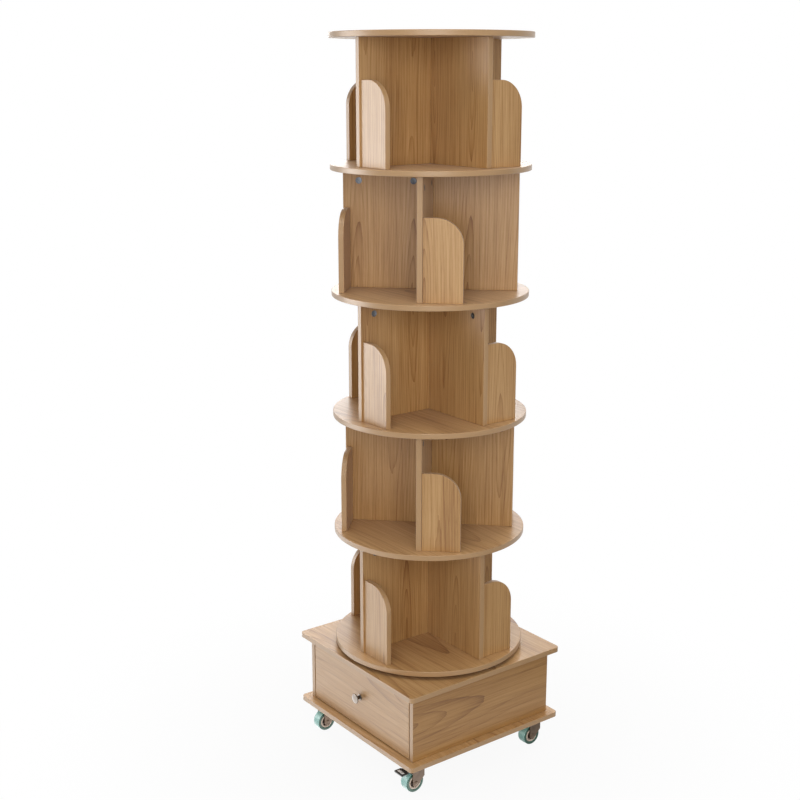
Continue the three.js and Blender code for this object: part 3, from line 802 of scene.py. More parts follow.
clad(panel("base_top", top_low, top_high), "base", ALONG_X, ALONG_Y, "base_top_panel", WIDE)
bottom = panel("base_bottom", bottom_low, (*top_high.xy, bottom_top))
clad(bottom, "base", ALONG_X, ALONG_Y, "base_bottom_panel", WIDE)
for name, side in SIDES:
    wall = side_block(f"cabinet_{name}", side, bay_half, cabinet_half, side_low.yz, side_high.yz)
    wall = ease(wall, WALL_EASE)
    # The cabinet's sides take the darker veneer, whose tones are painted shade.
    clad(wall, "base", ALONG_Y, UP, f"base_{name}_side", SHADED_SIDE, SIDE_STARTS[name], SIDE_HEART)
cabinet_back = ease(block("cabinet_back", *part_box("base_back_panel")), WALL_EASE)
clad(cabinet_back, "base", ALONG_X, UP, "base_back_panel", WIDE)
print("cabinet is", round(2 * cabinet_half, 4), "wide")

# %% [markdown]
# ## Drawer
# The drawer is a box behind a front that closes flush between the cabinet's sides. Its sides have a groove
# outside for the runner and one inside for the thin bottom. The runners are hardwood strips glued to the
# cabinet. Each board is a cuboid, the grooves are cut out of it, and then its edges are eased.

# %% Drawer
RUNNER_HEIGHT = 18 * MM
RUNNER_BITE = 5.5 * MM
RUNNER_PLAY = 0.5 * MM
RUNNER_RISE = 60 * MM
RUNNER_EASE = 1.5 * MM
SHEET_GROOVE = 5 * MM
SHEET_PLAY = 0.25 * MM
SHEET_EASE = 0.3 * MM
DRAWER_EASE = 0.5 * MM
FRONT_EASE = 0.8 * MM
FRONT_START = 0.5
FRONT_HEART = 0.09
wall_low, wall_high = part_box("drawer_right_side")
sheet_low, sheet_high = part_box("drawer_bottom")
front_low, front_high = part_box("drawer_front")
runner_z = wall_low.z + RUNNER_RISE
groove_low, groove_high = sheet_low.z - SHEET_PLAY, sheet_high.z + SHEET_PLAY


def drawer_wall(name, side):
    """A drawer side with its two grooves."""
    wall = block(f"drawer_wall_{name}", *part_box(f"drawer_{name}_side"))
    start, end = wall_low.y - board, wall_high.y + board
    half = RUNNER_HEIGHT / 2 + RUNNER_PLAY
    outside = side_block("groove", side, wall_high.x - RUNNER_BITE - RUNNER_PLAY, wall_high.x + board,
                         (start, runner_z - half), (end, runner_z + half))
    inside = side_block("groove", side, wall_low.x - board, wall_low.x + SHEET_GROOVE,
                        (start, groove_low), (end, groove_high))
    return ease(cut_away(wall, outside, inside), DRAWER_EASE, 2)


for name, side in SIDES:
    clad(drawer_wall(name, side), "drawer", ALONG_Y, UP, f"drawer_{name}_side", PALE)
    runner = side_block(f"runner_{name}", side, side_low.x, bay_half,
                        (front_high.y + SHEET_PLAY, runner_z - RUNNER_HEIGHT / 2),
                        (bay_half - SHEET_PLAY, runner_z + RUNNER_HEIGHT / 2))
    clad(ease(runner, RUNNER_EASE), "base", ALONG_Y, UP, skin=PALE)
rear = ease(block("drawer_rear", *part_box("drawer_back")), DRAWER_EASE, 2)
clad(rear, "drawer", ALONG_X, UP, "drawer_back", PALE)
floor_sheet = ease(block("drawer_floor", sheet_low, sheet_high), SHEET_EASE, 2)
clad(floor_sheet, "drawer", ALONG_Y, ALONG_X, "drawer_bottom", PALE)
front = block("drawer_face", front_low, front_high)
sheet_slot = block("groove", (-bay_half, front_high.y - SHEET_GROOVE, groove_low),
                   (bay_half, front_high.y + board, groove_high))
front = ease(cut_away(front, sheet_slot), FRONT_EASE)
clad(front, "drawer", ALONG_X, UP, "drawer_front", WIDE, FRONT_START, FRONT_HEART)
print("drawer depth", round(wall_high.y - front_low.y, 3))

# %% [markdown]
# ## Metal and plastic
# The fittings have polished nickel, zinc plate, die-cast zinc, bronze lacquer, black enamel and a brushed
# grip, and the wheels have four plastic finishes. Two of them are one mint tyre: a paler colour on the
# tread that is painted light, and a darker green on the sides that is painted shade. Plating shines
# unevenly: a broad noise varies how rough it is and a fine one ripples it, so highlights break up as on
# pressed steel. Moulded plastic is rougher, with a faint orange-peel bump and a colour that drifts a little.

# %% Metal and plastic
BROAD = 55.0
FINE = 1400.0


def finish(name, light, dark, rough, metallic=0.0, ripple=0.02):
    """A finish that drifts between two colours and two roughnesses, with a ripple so many mm deep."""
    material, tree, shader = new_material(name)
    place = add(tree, "TexCoord").outputs["Object"]
    drift = noise(tree, place, BROAD, roughness=0.6)
    grit = noise(tree, place, FINE, 2.0)
    colour = colours(tree, drift, ((0.36, tone(*light)), (0.64, tone(*dark))))
    gloss = calc(tree, "MULTIPLY_ADD", drift, rough[1] - rough[0], rough[0])
    normal = bump(tree, grit, ripple * MM)
    connect(tree, shader, base_color=colour, roughness=gloss, metallic=metallic, normal=normal)
    return material


nickel = finish("polished nickel", (118, 110, 103), (98, 91, 85), (0.08, 0.2), 1.0, 0.002)
zinc = finish("zinc plate", (176, 182, 190), (148, 155, 164), (0.25, 0.45), 1.0, 0.01)
bronze = finish("bronze lacquer", (106, 86, 68), (84, 67, 53), (0.35, 0.55), 0.4)
die_cast = finish("die-cast zinc", (134, 139, 146), (98, 103, 110), (0.4, 0.6), 0.7)
silver = finish("brushed pedal plate", (232, 231, 230), (212, 211, 210), (0.25, 0.4), 0.3, 0.01)
black = finish("black enamel", (30, 27, 25), (20, 18, 17), (0.25, 0.45))
# The tyre is one mint plastic: the paler tread colour is painted light, the darker green side colour painted
# shade.
lit_tread_mint = finish("mint tread with painted light", (156, 206, 199), (132, 190, 181), (0.3, 0.5), ripple=0.03)
shaded_tyre_side = finish("tyre side with painted shade", (27, 80, 62), (19, 64, 50), (0.3, 0.5), ripple=0.03)
cream = finish("cream rim", (216, 198, 182), (204, 184, 166), (0.35, 0.5))
umber = finish("umber hub", (92, 72, 62), (70, 54, 46), (0.4, 0.6))
print("materials so far:", len(bpy.data.materials))

# %% [markdown]
# ## Drawn and turned pieces
# Most fittings are turned or pressed. Both start here as a single point that is extruded along an outline, as
# with a pencil. Spun round an axis it becomes a turned piece, and filled and extruded it becomes a flat
# blank. Arcs are worked out, so an outline holds only the points that its shape needs.

# %% Drawn and turned pieces
MERGE = 0.001 * MM
FACE_ACROSS = spin(QUARTER)
AXIS_TO_X = spin(QUARTER, "Y")
AXIS_TO_FRONT = spin(QUARTER, "X")
AXIS_DOWN = spin(math.pi, "X")


def arc(centre, radius, start, end, steps=8):
    """Points on an arc between two angles in degrees."""
    angles = [math.radians(start + (end - start) * step / steps) for step in range(steps + 1)]
    return [(centre[0] + radius * math.cos(angle), centre[1] + radius * math.sin(angle)) for angle in angles]


def mirrored(points):
    """The same (radius, height) points below zero, in the other order."""
    return [(radius, -height) for radius, height in reversed(points)]


def drawn(name, points):
    """A line through (x, z) points, left selected in edit mode."""
    bpy.ops.object.select_all(action="DESELECT")
    bpy.ops.mesh.primitive_plane_add(size=MM)
    piece = bpy.context.object
    piece.name = piece.data.name = name
    bpy.ops.object.mode_set(mode="EDIT")
    bpy.ops.mesh.select_mode(type="VERT")
    bpy.ops.mesh.select_all(action="SELECT")
    bpy.ops.mesh.merge(type="CENTER")
    bpy.ops.transform.translate(value=(points[0][0], 0, points[0][1]))
    for (x0, z0), (x1, z1) in zip(points, points[1:]):
        bpy.ops.mesh.extrude_vertices_move(TRANSFORM_OT_translate={"value": (x1 - x0, 0, z1 - z0)})
    bpy.ops.mesh.select_all(action="SELECT")
    bpy.ops.mesh.remove_doubles(threshold=MERGE)
    return piece


def turned(name, profile, sides=ROUND):
    """Spins a profile of (radius, height) points about Z. It is closed if it doesn't start on the axis."""
    piece = drawn(name, [*profile, profile[0]] if profile[0][0] else profile)
    bpy.ops.mesh.spin(steps=sides, angle=2 * math.pi, center=(0, 0, 0), axis=(0, 0, 1))
    bpy.ops.mesh.select_all(action="SELECT")
    bpy.ops.mesh.remove_doubles(threshold=MERGE)
    bpy.ops.mesh.normals_make_consistent(inside=False)
    return smooth(close(piece))


def blank(name, outline, thickness):
    """Fills an outline of (x, z) points and gives it a thickness along Y, half on each side."""
    piece = drawn(name, outline)
    bpy.ops.mesh.edge_face_add()
    bpy.ops.mesh.extrude_region_move(TRANSFORM_OT_translate={"value": (0, thickness, 0)})
    bpy.ops.mesh.select_all(action="SELECT")
    bpy.ops.mesh.normals_make_consistent(inside=False)
    bpy.ops.transform.translate(value=(0, -thickness / 2, 0))
    return close(piece)


print("an arc of 8 steps has", len(arc((0, 0), 1, 0, 90)), "points")

# %% [markdown]
# ## Screws and cam fittings
# Flat-pack boards are pulled together by cam fittings: die-cast drums about 15 mm across that lie flush in
# a bore and show a cross. The one black cam sits deeper than the rest. Screw heads are small domes with the
# same cross. Each is turned once, the cross is cut out, and copies go where they are used.

# %% Screws and cam fittings
SCREW_RADIUS = 3.6 * MM
SCREW_RISE = 1.8 * MM
SCREW_EDGE = 0.25
SCREW_CROSS = (4.2 * MM, 0.9 * MM, 1.1 * MM)
CAM_EDGE = 0.5 * MM
CAM_RIM = 0.72 * CAM_RADIUS
CAM_FLOOR = 0.66 * CAM_RADIUS
CAM_DISH = 0.35 * MM
CAM_CROSS = (8.4 * MM, 1.5 * MM, 2.6 * MM)


def cross_recess(piece, top, length, width, depth):
    """Cuts a cross into the top of a turned piece."""
    for size in ((length, width), (width, length)):
        half = Vector((size[0] / 2, size[1] / 2, depth))
        cut_away(piece, block("cross", UP * top - half, UP * top + half))
    return smooth(piece)


def screw_template():
    """A domed screw head on Z, its seat at zero."""
    quarter = arc((0, 0), 1, 0, 90)[:-1]
    dome = [(SCREW_RADIUS * x, SCREW_RISE * (SCREW_EDGE + (1 - SCREW_EDGE) * z)) for x, z in quarter]
    head = turned("screw", [(0, 0), (SCREW_RADIUS, 0), *dome, (0, SCREW_RISE)], 32)
    return cross_recess(head, SCREW_RISE, *SCREW_CROSS)


def cam_template():
    """A cam drum on Z, its face at zero."""
    rim = arc((CAM_RADIUS - CAM_EDGE, -CAM_EDGE), CAM_EDGE, 0, 90, 4)
    body = turned("cam", [(0, -CAM_DEPTH), (CAM_RADIUS, -CAM_DEPTH), *rim, (CAM_RIM, 0),
                          (CAM_FLOOR, -CAM_DISH), (0, -CAM_DISH)])
    return cross_recess(body, 0, *CAM_CROSS)


screw = screw_template()
cam = moved(cam_template(), shift(0, 0, -CAM_SUNK))
for count, seat in enumerate(fittings):
    dress(copy_of(cam, f"cam_{count}", seat), "tower", "zinc", die_cast)
turned_tier = tier_matrix(TURNED_BORE[0])
black_cam = copy_of(cam, "cam_turned", turned_tier @ turned_seat @ shift(0, 0, -TURNED_SUNK))
dress(black_cam, "tower", "zinc", black)
bpy.data.objects.remove(cam)
print("a screw head has", len(screw.data.polygons), "faces")

# %% [markdown]
# ## Drawer knob
# The knob is turned brass with nickel plate: a foot against the drawer, a thin neck, and a head that flares
# out to a thin rim and ends in a faint dome. The flare is a power curve, which is flat at the neck and steep
# at the rim. One screw holds it from inside.

# %% Drawer knob
KNOB_FOOT = (8 * MM, 2 * MM)
KNOB_NECK = (4.5 * MM, 8 * MM)
KNOB_RIM = 2.5 * MM
KNOB_DOME = 1.2 * MM
DOME_POINTS = ((0.6, 0.3), (0.3, 0.08))
FOOT_FILLET = 1.25
FLARE_POWER = 2.2
FLARE_STEPS = 12
knob_low, knob_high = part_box("drawer_knob")


def knob():
    """The knob along Z, its foot at zero."""
    length = knob_high.y - knob_low.y
    radius = (knob_high.x - knob_low.x) / 2
    foot_radius, foot_height = KNOB_FOOT
    neck_radius, neck_end = KNOB_NECK
    rim_start = length - KNOB_DOME - KNOB_RIM
    foot = arc((foot_radius - foot_height / 2, foot_height / 2), foot_height / 2, 0, 90, 4)
    flare = []
    for step in range(FLARE_STEPS + 1):
        share = step / FLARE_STEPS
        flare.append((neck_radius + (radius - neck_radius) * share ** FLARE_POWER,
                      neck_end + (rim_start - neck_end) * share))
    lip = KNOB_RIM / 2
    rim = arc((radius - lip, rim_start + lip), lip, 0, 90, 6)
    dome = [(radius * out, length - KNOB_DOME * down) for out, down in DOME_POINTS]
    return turned("knob", [(0, 0), (foot_radius, 0), *foot, (neck_radius, foot_height * FOOT_FILLET),
                           *flare, *rim, *dome, (0, length)], 64)


middle = (knob_low + knob_high) / 2
handle = moved(knob(), shift(middle.x, knob_high.y, middle.z) @ AXIS_TO_FRONT)
dress(handle, "drawer", "nickel", nickel, nodes=["drawer_knob"])
inside = shift(middle.x, front_high.y, middle.z) @ spin(-QUARTER, "X")
dress(copy_of(screw, "knob_screw", inside), "drawer", "zinc", zinc)
print("knob is", round(knob_high.y - knob_low.y, 4), "long")

# %% [markdown]
# ## Turntable bearing
# Between the base and the tower lies a flat ball bearing: two pressed rings with a raised race each, and a
# ring of balls in a cage. It hardly shows, but it is what turns the tower. The plates are one profile, turned
# once and turned over for the upper plate. The balls are small spheres, set out with a rotation for each.

# %% Turntable bearing
BEARING_INNER = 52 * MM
BEARING_SHEET = 1.5 * MM
BEARING_SIDES = 96
RACE_RADIUS = 92 * MM
RACE_HALF = 6 * MM
RACE_LIP = 1.8 * MM
RACE_BEND = 0.6 * MM
BALL_RADIUS = 2.5 * MM
BALL_PLAY = 0.3 * MM
BALLS = 12
CAGE_HALF = 3.6 * MM
CAGE_SHEET = 0.9 * MM
bearing_low, bearing_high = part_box("bearing_lower_plate")
bearing_middle = (bearing_low.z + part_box("bearing_upper_plate")[1].z) / 2


def bearing_plate():
    """The lower plate, with its race, on the bearing's middle plane."""
    under = bearing_low.z - bearing_middle
    face = under + BEARING_SHEET
    lip = face + RACE_LIP
    groove = BALL_RADIUS + BALL_PLAY
    reach = math.degrees(math.acos(-lip / groove))
    inner, outer = RACE_RADIUS - RACE_HALF, RACE_RADIUS + RACE_HALF
    profile = [(BEARING_INNER, under), (bearing_high.x, under), (bearing_high.x, face), (outer, face)]
    profile += arc((outer - RACE_BEND, lip - RACE_BEND), RACE_BEND, 0, 90, 3)
    profile += arc((RACE_RADIUS, 0), groove, -90 + reach, -90 - reach, 12)
    profile += arc((inner + RACE_BEND, lip - RACE_BEND), RACE_BEND, 90, 180, 3)
    profile += [(inner, face), (BEARING_INNER, face)]
    return turned("bearing_plate", profile, BEARING_SIDES)


def ball_ring():
    """The cage with its balls, on the bearing's middle plane."""
    inner, outer, half = RACE_RADIUS - CAGE_HALF, RACE_RADIUS + CAGE_HALF, CAGE_SHEET / 2
    ring = turned("ball_ring", [(inner, -half), (outer, -half), (outer, half), (inner, half)], BEARING_SIDES)
    for x, y in arc((0, 0), RACE_RADIUS, 0, 360, BALLS)[:-1]:
        bpy.ops.object.select_all(action="DESELECT")
        bpy.ops.mesh.primitive_uv_sphere_add(segments=16, ring_count=10, radius=BALL_RADIUS,
                                             location=(x, y, 0))
        merged(ring, settle(bpy.context.object, "ball"))
    return smooth(ring)


to_bearing = shift(0, 0, bearing_middle)
plate = bearing_plate()
dress(copy_of(plate, "bearing_plate_low", to_bearing), "base", "zinc", zinc, nodes=["bearing_lower_plate"])
turned_over = to_bearing @ AXIS_DOWN
dress(copy_of(plate, "bearing_plate_high", turned_over), "tower", "zinc", zinc, nodes=["bearing_upper_plate"])
bpy.data.objects.remove(plate)
dress(moved(ball_ring(), to_bearing), "base", "zinc", zinc, nodes=["bearing_ball_cage"])
print("bearing has", BALLS, "balls")

# %% [markdown]
# ## Casters
# Each corner stands on a small swivel caster. A pressed fork hangs from a ball race under a screwed plate,
# and carries a wheel with a mint tyre on a cream rim. Every part is modelled once, with the swivel axis at
# the origin and the wheel trailing to the front, and then copied to the four corners.

# %% Caster sizes
casters = [name.removesuffix("_swivel") for name in frame["bodies"] if name.endswith("_swivel")]
swivel_at = {joint["child"]: Vector(joint["pos_m"]) for joint in frame["joints"] if "pos_m" in joint}
wheel_low, wheel_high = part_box("caster_front_left_wheel")
home = swivel_at["caster_front_left_swivel"]
wheel_z = (wheel_low.z + wheel_high.z) / 2
wheel_radius = wheel_z - cad_low.z
TRAIL = home.y - (wheel_low.y + wheel_high.y) / 2
TYRE_HALF = 12 * MM
FORK_SHEET = 2.5 * MM
LEG_INSIDE = 13.25 * MM
LEG_OUTSIDE = LEG_INSIDE + FORK_SHEET
EYE_RADIUS = 9 * MM
FORK_BACK = 17 * MM
FORK_KNEE = 17 * MM
CROWN_FRONT = 11 * MM
HEAD_RADIUS = 17 * MM
NECK_RADIUS = 11 * MM
PIN_RADIUS = 4 * MM
PIN_PLAY = 0.3 * MM
AXLE_RADIUS = 3.5 * MM
PLATE_HALF = 22 * MM
PLATE_SHEET = 2.5 * MM
RACE_HEIGHT = 3 * MM
crown_z = wheel_z + 29.5 * MM
crown_top = crown_z + FORK_SHEET
plate_top = bottom_low.z
plate_z = plate_top - PLATE_SHEET
race_z = plate_z - RACE_HEIGHT
head_top = race_z - PIN_PLAY
head_bottom = crown_top + 3.5 * MM


def on_axle(piece):
    """Turns a piece from Z to X and moves it to the wheel's axle."""
    return moved(moved(piece, AXIS_TO_X), shift(0, -TRAIL, wheel_z))


print("casters:", casters, "trail", round(TRAIL, 4))

# %% [markdown]
# ## Caster fork
# The fork is one strip of steel bent into a U. A U-shaped blank as deep as the leg is wide gives the bends,
# and a second blank with the leg's outline trims it: straight in front, round at the axle, tapered behind.
# Over it sits the turned head that holds the swivel race, and a riveted axle joins the legs.

# %% Caster fork
BEND = 3.2 * MM
FORK_EASE = 0.35 * MM
HEAD_SOFT = 1.0 * MM
HEAD_ROUND = 3 * MM
AXLE_HEAD = 5.5 * MM
AXLE_DOME = 1.6 * MM
RIVET_RADIUS = 6.5 * MM
RIVET_RISE = 1.8 * MM
CUP_RADIUS = 15 * MM
PIN_SOFT = 0.6 * MM
PLATE_CORNER = 4 * MM
PLATE_EASE = 0.4 * MM


def leg_outline():
    """The leg from the side, as (y, z) points about the swivel axis."""
    knee = crown_z - FORK_KNEE
    run, rise = FORK_BACK + TRAIL, knee - wheel_z
    away = math.hypot(run, rise)
    tangent = math.degrees(math.atan2(rise, run) - math.acos(EYE_RADIUS / away))
    eye = arc((-TRAIL, wheel_z), EYE_RADIUS, -180, tangent, 20)
    return [(-TRAIL - EYE_RADIUS, crown_top + BEND), *eye, (FORK_BACK, knee), (FORK_BACK, crown_top + BEND)]


def fork_template():
    """The bent fork on the swivel axis, at the origin."""
    inner = BEND - FORK_SHEET
    foot = wheel_z - 2 * EYE_RADIUS
    right = [(LEG_OUTSIDE, foot), *arc((LEG_OUTSIDE - BEND, crown_top - BEND), BEND, 0, 90, 6)]
    within = [*arc((LEG_INSIDE - inner, crown_z - inner), inner, 90, 0, 3), (LEG_INSIDE, foot)]
    left, back = ([(-x, z) for x, z in reversed(points)] for points in (right, within))
    fork = blank("fork", [*right, *left, *back, *within], 4 * FORK_BACK)
    leg = moved(blank("leg", leg_outline(), 4 * LEG_OUTSIDE), FACE_ACROSS)
    cut_away(fork, leg, operation="INTERSECT")
    notch = block("notch", (-LEG_INSIDE, -TRAIL - 2 * EYE_RADIUS, crown_z - BEND),
                  (LEG_INSIDE, -CROWN_FRONT, head_top))
    eye = on_axle(drum("eye", AXLE_RADIUS, -2 * LEG_OUTSIDE, 2 * LEG_OUTSIDE))
    pin = drum("pin", PIN_RADIUS + PIN_PLAY, crown_z - BEND, head_top)
    return ease(cut_away(fork, notch, eye, pin), FORK_EASE, 2, 30)


def head_template():
    """The turned head over the fork's crown, bored for the king pin."""
    bore = PIN_RADIUS + PIN_PLAY
    lower = arc((HEAD_RADIUS - HEAD_SOFT, head_bottom + HEAD_SOFT), HEAD_SOFT, -90, 0, 4)
    upper = arc((HEAD_RADIUS - HEAD_ROUND, head_top - HEAD_ROUND), HEAD_ROUND, 0, 90, 8)
    return turned("swivel_head", [(bore, crown_top), (NECK_RADIUS + HEAD_SOFT, crown_top),
                                  (NECK_RADIUS, crown_top + HEAD_SOFT), (NECK_RADIUS, head_bottom),
                                  *lower, *upper, (bore, head_top)])


def axle_template():
    """The axle with its two riveted heads, along X."""
    end = LEG_OUTSIDE
    dome = [(AXLE_HEAD * x, end + AXLE_DOME * z) for x, z in arc((0, 0), 1, 0, 90)]
    half = [(AXLE_RADIUS, 0), (AXLE_RADIUS, end), *dome[:-1], (0, end + AXLE_DOME)]
    return on_axle(turned("axle", mirrored(half) + half[1:]))


def king_pin_template():
    """The swivel race and the king pin under the plate, turned."""
    top = crown_z - PIN_PLAY
    foot = top - RIVET_RISE
    rivet = arc((RIVET_RADIUS - PIN_SOFT, foot + PIN_SOFT), PIN_SOFT, -90, 0, 4)
    cup = arc((CUP_RADIUS - PIN_SOFT, race_z + PIN_SOFT), PIN_SOFT, -90, 0, 4)
    return turned("king_pin", [(0, foot), *rivet, (RIVET_RADIUS, top), (PIN_RADIUS, top),
                               (PIN_RADIUS, race_z), *cup, (CUP_RADIUS, plate_z), (0, plate_z)])


def plate_template():
    """The mounting plate under the panel."""
    plate = block("caster_plate", (-PLATE_HALF, -PLATE_HALF, plate_z), (PLATE_HALF, PLATE_HALF, plate_top))
    return ease(round_edges(plate, PLATE_CORNER, 6), PLATE_EASE, 2)


fork, head, axle = fork_template(), head_template(), axle_template()
king_pin, mount = king_pin_template(), plate_template()
print("fork faces", len(fork.data.polygons))

# %% [markdown]
# ## Caster wheel
# The tyre is a turned ring with round shoulders and a faintly crowned tread. It is cast on a cream rim, whose
# dished web carries the hub and six ribs. Tread and side of the tyre are two materials on one ring, told
# apart
# by which way a face looks: the paler mint on the tread is painted light, and the darker green on the sides
# is painted shade.

# %% Caster wheel
RIM_OUTER = 17.6 * MM
RIM_INNER = 12.6 * MM
RIM_PROUD = 0.3 * MM
RIM_SIDES = 64
TYRE_SIDES = 72
TYRE_FLANK = 0.6
TYRE_ROOT = (0.8 * MM, 0.6 * MM)
SHOULDER = 1.6 * MM
TREAD_CROWN = 0.25 * MM
WEB_HALF = 3 * MM
HUB_RADIUS = 6.5 * MM
HUB_PLAY = 0.3 * MM
HUB_SOFT = 0.6 * MM
RIBS = 6
RIB_HALF = 0.7 * MM
RIB_SHORT = 3.5 * MM
RIB_EASE = 0.2 * MM


def tyre_template():
    """The tyre about X, on the axle, its tread in one material and its sides in another."""
    edge = arc((wheel_radius - TREAD_CROWN - SHOULDER, TYRE_HALF - SHOULDER), SHOULDER, 90, 0, 8)
    out, down = TYRE_ROOT
    half = [(RIM_OUTER, TYRE_HALF - down), (RIM_OUTER + out, TYRE_HALF), *edge, (wheel_radius, 0)]
    tyre = turned("tyre", half + mirrored(half[:-1]), TYRE_SIDES)
    # Faces that look along the axle take the painted-shade side colour, the others the painted-light tread
    # colour.
    for face in tyre.data.polygons:
        face.material_index = 1 if abs(face.normal.z) > TYRE_FLANK else 0
    return on_axle(tyre)


def rim_template():
    """The cream rim: a sleeve with rolled edges."""
    lip = (RIM_OUTER - RIM_INNER) / 2
    end = TYRE_HALF - lip + RIM_PROUD
    profile = arc((RIM_INNER + lip, end), lip, 0, 180, 10) + arc((RIM_INNER + lip, -end), lip, 180, 360, 10)
    return on_axle(turned("rim", profile, RIM_SIDES))


def hub_template():
    """The web, the ribs and the bored hub inside the rim."""
    end = LEG_INSIDE - HUB_PLAY
    boss = arc((HUB_RADIUS - HUB_SOFT, end - HUB_SOFT), HUB_SOFT, 90, 0, 4)
    half = [(AXLE_RADIUS + HUB_PLAY, end), *boss, (HUB_RADIUS, WEB_HALF), (RIM_INNER + HUB_SOFT, WEB_HALF)]
    hub = turned("hub", half + mirrored(half), RIM_SIDES)
    reach = TYRE_HALF - RIB_SHORT
    for number in range(RIBS):
        rib = block("rib", (HUB_RADIUS - HUB_SOFT, -RIB_HALF, -reach),
                    (RIM_INNER + HUB_SOFT, RIB_HALF, reach))
        merged(hub, moved(ease(rib, RIB_EASE, 2), spin(2 * math.pi * number / RIBS)))
    return on_axle(smooth(hub))


tyre, rim, hub = tyre_template(), rim_template(), hub_template()
print("tyre faces", len(tyre.data.polygons))

# %% [markdown]
# ## Brake pedal
# Two casters have a brake: a lever on a pin between the fork's legs, with a shoe over the tyre and a broad
# tread plate that stands out past the wheel. The lever is a blank drawn from the side. The black plate has
# a pocket near its end, cut by a boolean, that holds a bright grip for the sole.

# %% Brake pedal
PEDAL_TRAIL = 16.4 * MM
PEDAL_Z = crown_z + 0.5 * MM
PEDAL_PIN = 1.75 * MM
PEDAL_PLAY = 0.3 * MM
PEDAL_HUB = 3.4 * MM
PEDAL_HALF = 12.2 * MM
PEDAL_EASE = 0.5 * MM
SHOE_REACH = 5.5 * MM
SHOE_WIDTH = 2.4 * MM
ARM_SHEET = 3 * MM
PEDAL_REACH = 50 * MM
PEDAL_START = 29 * MM
TREAD_HALF = 15.5 * MM
TREAD_CORNER = 3 * MM
GRIP_AT = 41 * MM
GRIP_HALF = Vector((11 * MM, 4 * MM, 0.8 * MM))
GRIP_PLAY = Vector((0.2 * MM, 0.2 * MM, 0.05 * MM))
GRIP_RISE = 0.3 * MM
GRIP_EASE = 0.2 * MM
GROOVE_HALF = (0.3 * MM, 0.15 * MM)
GROOVE_RISE = 0.35 * MM
GROOVE_SHARE = 0.4
grip_middle = Vector((0, -GRIP_AT, PEDAL_Z + ARM_SHEET))
to_pedal = shift(0, -PEDAL_TRAIL, PEDAL_Z)


def lever_template():
    """The lever about its pin: hub, shoe and arm."""
    hub_arc = arc((0, 0), PEDAL_HUB, -75, 90, 14)
    end = -(PEDAL_START + SHOE_WIDTH - PEDAL_TRAIL)
    outline = [(end, ARM_SHEET), (end, 0.6 * MM), (-SHOE_WIDTH - MM, 0.4 * MM), (-SHOE_WIDTH, -SHOE_REACH),
               (-0.3 * MM, -SHOE_REACH), *hub_arc, (-PEDAL_HUB, ARM_SHEET)]
    lever = moved(blank("lever", outline, 2 * PEDAL_HALF), FACE_ACROSS)
    bore = moved(drum("bore", PEDAL_PIN + PEDAL_PLAY, -2 * PEDAL_HALF, 2 * PEDAL_HALF, 24), AXIS_TO_X)
    return moved(ease(cut_away(lever, bore), PEDAL_EASE, 3, 30), to_pedal)


def tray_template():
    """The tread plate, with round corners and the grip's pocket."""
    tray = block("tray", (-TREAD_HALF, -PEDAL_REACH, PEDAL_Z),
                 (TREAD_HALF, -PEDAL_START, PEDAL_Z + ARM_SHEET))
    ease(round_edges(tray, TREAD_CORNER, 6), PEDAL_EASE, 3, 30)
    return flatten_light(cut_away(tray, block("pocket", grip_middle - GRIP_HALF, grip_middle + GRIP_HALF)))


def grip_template():
    """The bright grip in the pocket, a little proud of it, with two grooves."""
    half = GRIP_HALF - GRIP_PLAY
    grip = block("grip", grip_middle - half, grip_middle + Vector((half.x, half.y, GRIP_RISE)))
    groove = Vector((half.x, *GROOVE_HALF))
    for side in (-1, 1):
        line = grip_middle + Vector((0, side * half.y * GROOVE_SHARE, GROOVE_RISE))
        cut_away(grip, block("groove", line - groove, line + groove))
    return ease(grip, GRIP_EASE, 2, 30)


def pedal_pin_template():
    """The pin between the legs."""
    end = LEG_INSIDE + FORK_SHEET / 2
    pin = turned("pedal_pin", [(0, -end), (PEDAL_PIN, -end), (PEDAL_PIN, end), (0, end)], 24)
    return moved(moved(pin, AXIS_TO_X), to_pedal)


lever, tray, grip, pedal_pin = lever_template(), tray_template(), grip_template(), pedal_pin_template()
print("pedal width", round(2 * TREAD_HALF, 4))

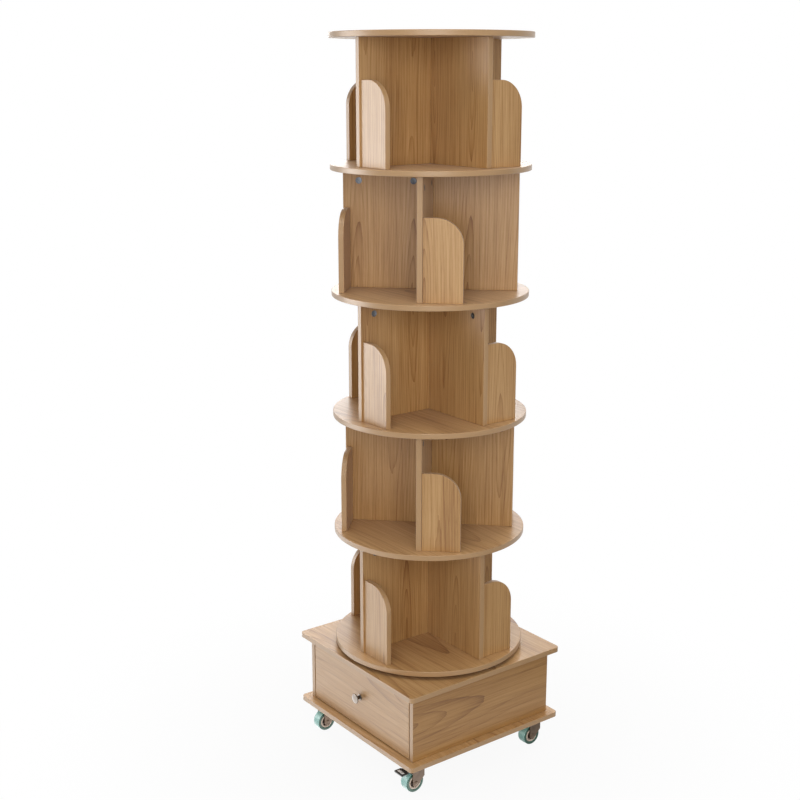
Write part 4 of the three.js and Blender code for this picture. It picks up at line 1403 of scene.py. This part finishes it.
# %% [markdown]
# ## Casters at the corners
# The last step copies the caster to each corner. What is screwed to the panel rides on the base, the fork on
# the swivel body, the wheel on the roller and the pedal on its own body, so each moves as the real one does.

# %% Casters at the corners
SCREW_AT = 16.5 * MM
LACQUERED = ("bronze_fork", bronze)
PLATED = ("zinc", zinc)
fixed_parts = {"plate": (mount, *LACQUERED), "king_pin": (king_pin, *PLATED)}
swivel_parts = {"bracket": (fork, *LACQUERED), "head": (head, *LACQUERED), "axle": (axle, *LACQUERED)}
wheel_parts = {"tyre": (tyre, "mint_wheel", lit_tread_mint, shaded_tyre_side), "rim": (rim, "mint_wheel", cream),
               "hub": (hub, "mint_wheel", umber)}
pedal_parts = {"lever": (lever, "black_pedal", black), "tray": (tray, "black_pedal", black),
               "grip": (grip, "black_pedal", silver)}
pin_parts = {"pedal_pin": (pedal_pin, *PLATED)}
stands_for = {"bracket": "fork", "tyre": "wheel", "lever": "brake_pedal"}


def dress_parts(caster, here, body, parts):
    """Copies parts to a caster's corner, on the body that they move with."""
    for part, (template, *looks) in parts.items():
        nodes = [f"{caster}_{stands_for[part]}"] if part in stands_for else []
        dress(copy_of(template, f"{caster}_{part}", here), body, *looks, nodes=nodes)


for name in casters:
    corner = swivel_at[f"{name}_swivel"]
    here = shift(corner.x, corner.y, 0)
    dress_parts(name, here, "base", fixed_parts)
    for number in range(4):
        spot = spin(number * QUARTER) @ Vector((SCREW_AT, SCREW_AT, plate_z))
        seat = here @ shift(*spot) @ AXIS_DOWN
        dress(copy_of(screw, f"{name}_screw_{number}", seat), "base", *PLATED)
    dress_parts(name, here, f"{name}_swivel", swivel_parts)
    dress_parts(name, here, f"{name}_roller", wheel_parts)
    if f"{name}_pedal" in frame["bodies"]:
        dress_parts(name, here, f"{name}_pedal", pedal_parts)
        dress_parts(name, here, f"{name}_swivel", pin_parts)
for template in (fork, head, axle, king_pin, mount, tyre, rim, hub, lever, tray, grip, pedal_pin, screw):
    bpy.data.objects.remove(template)
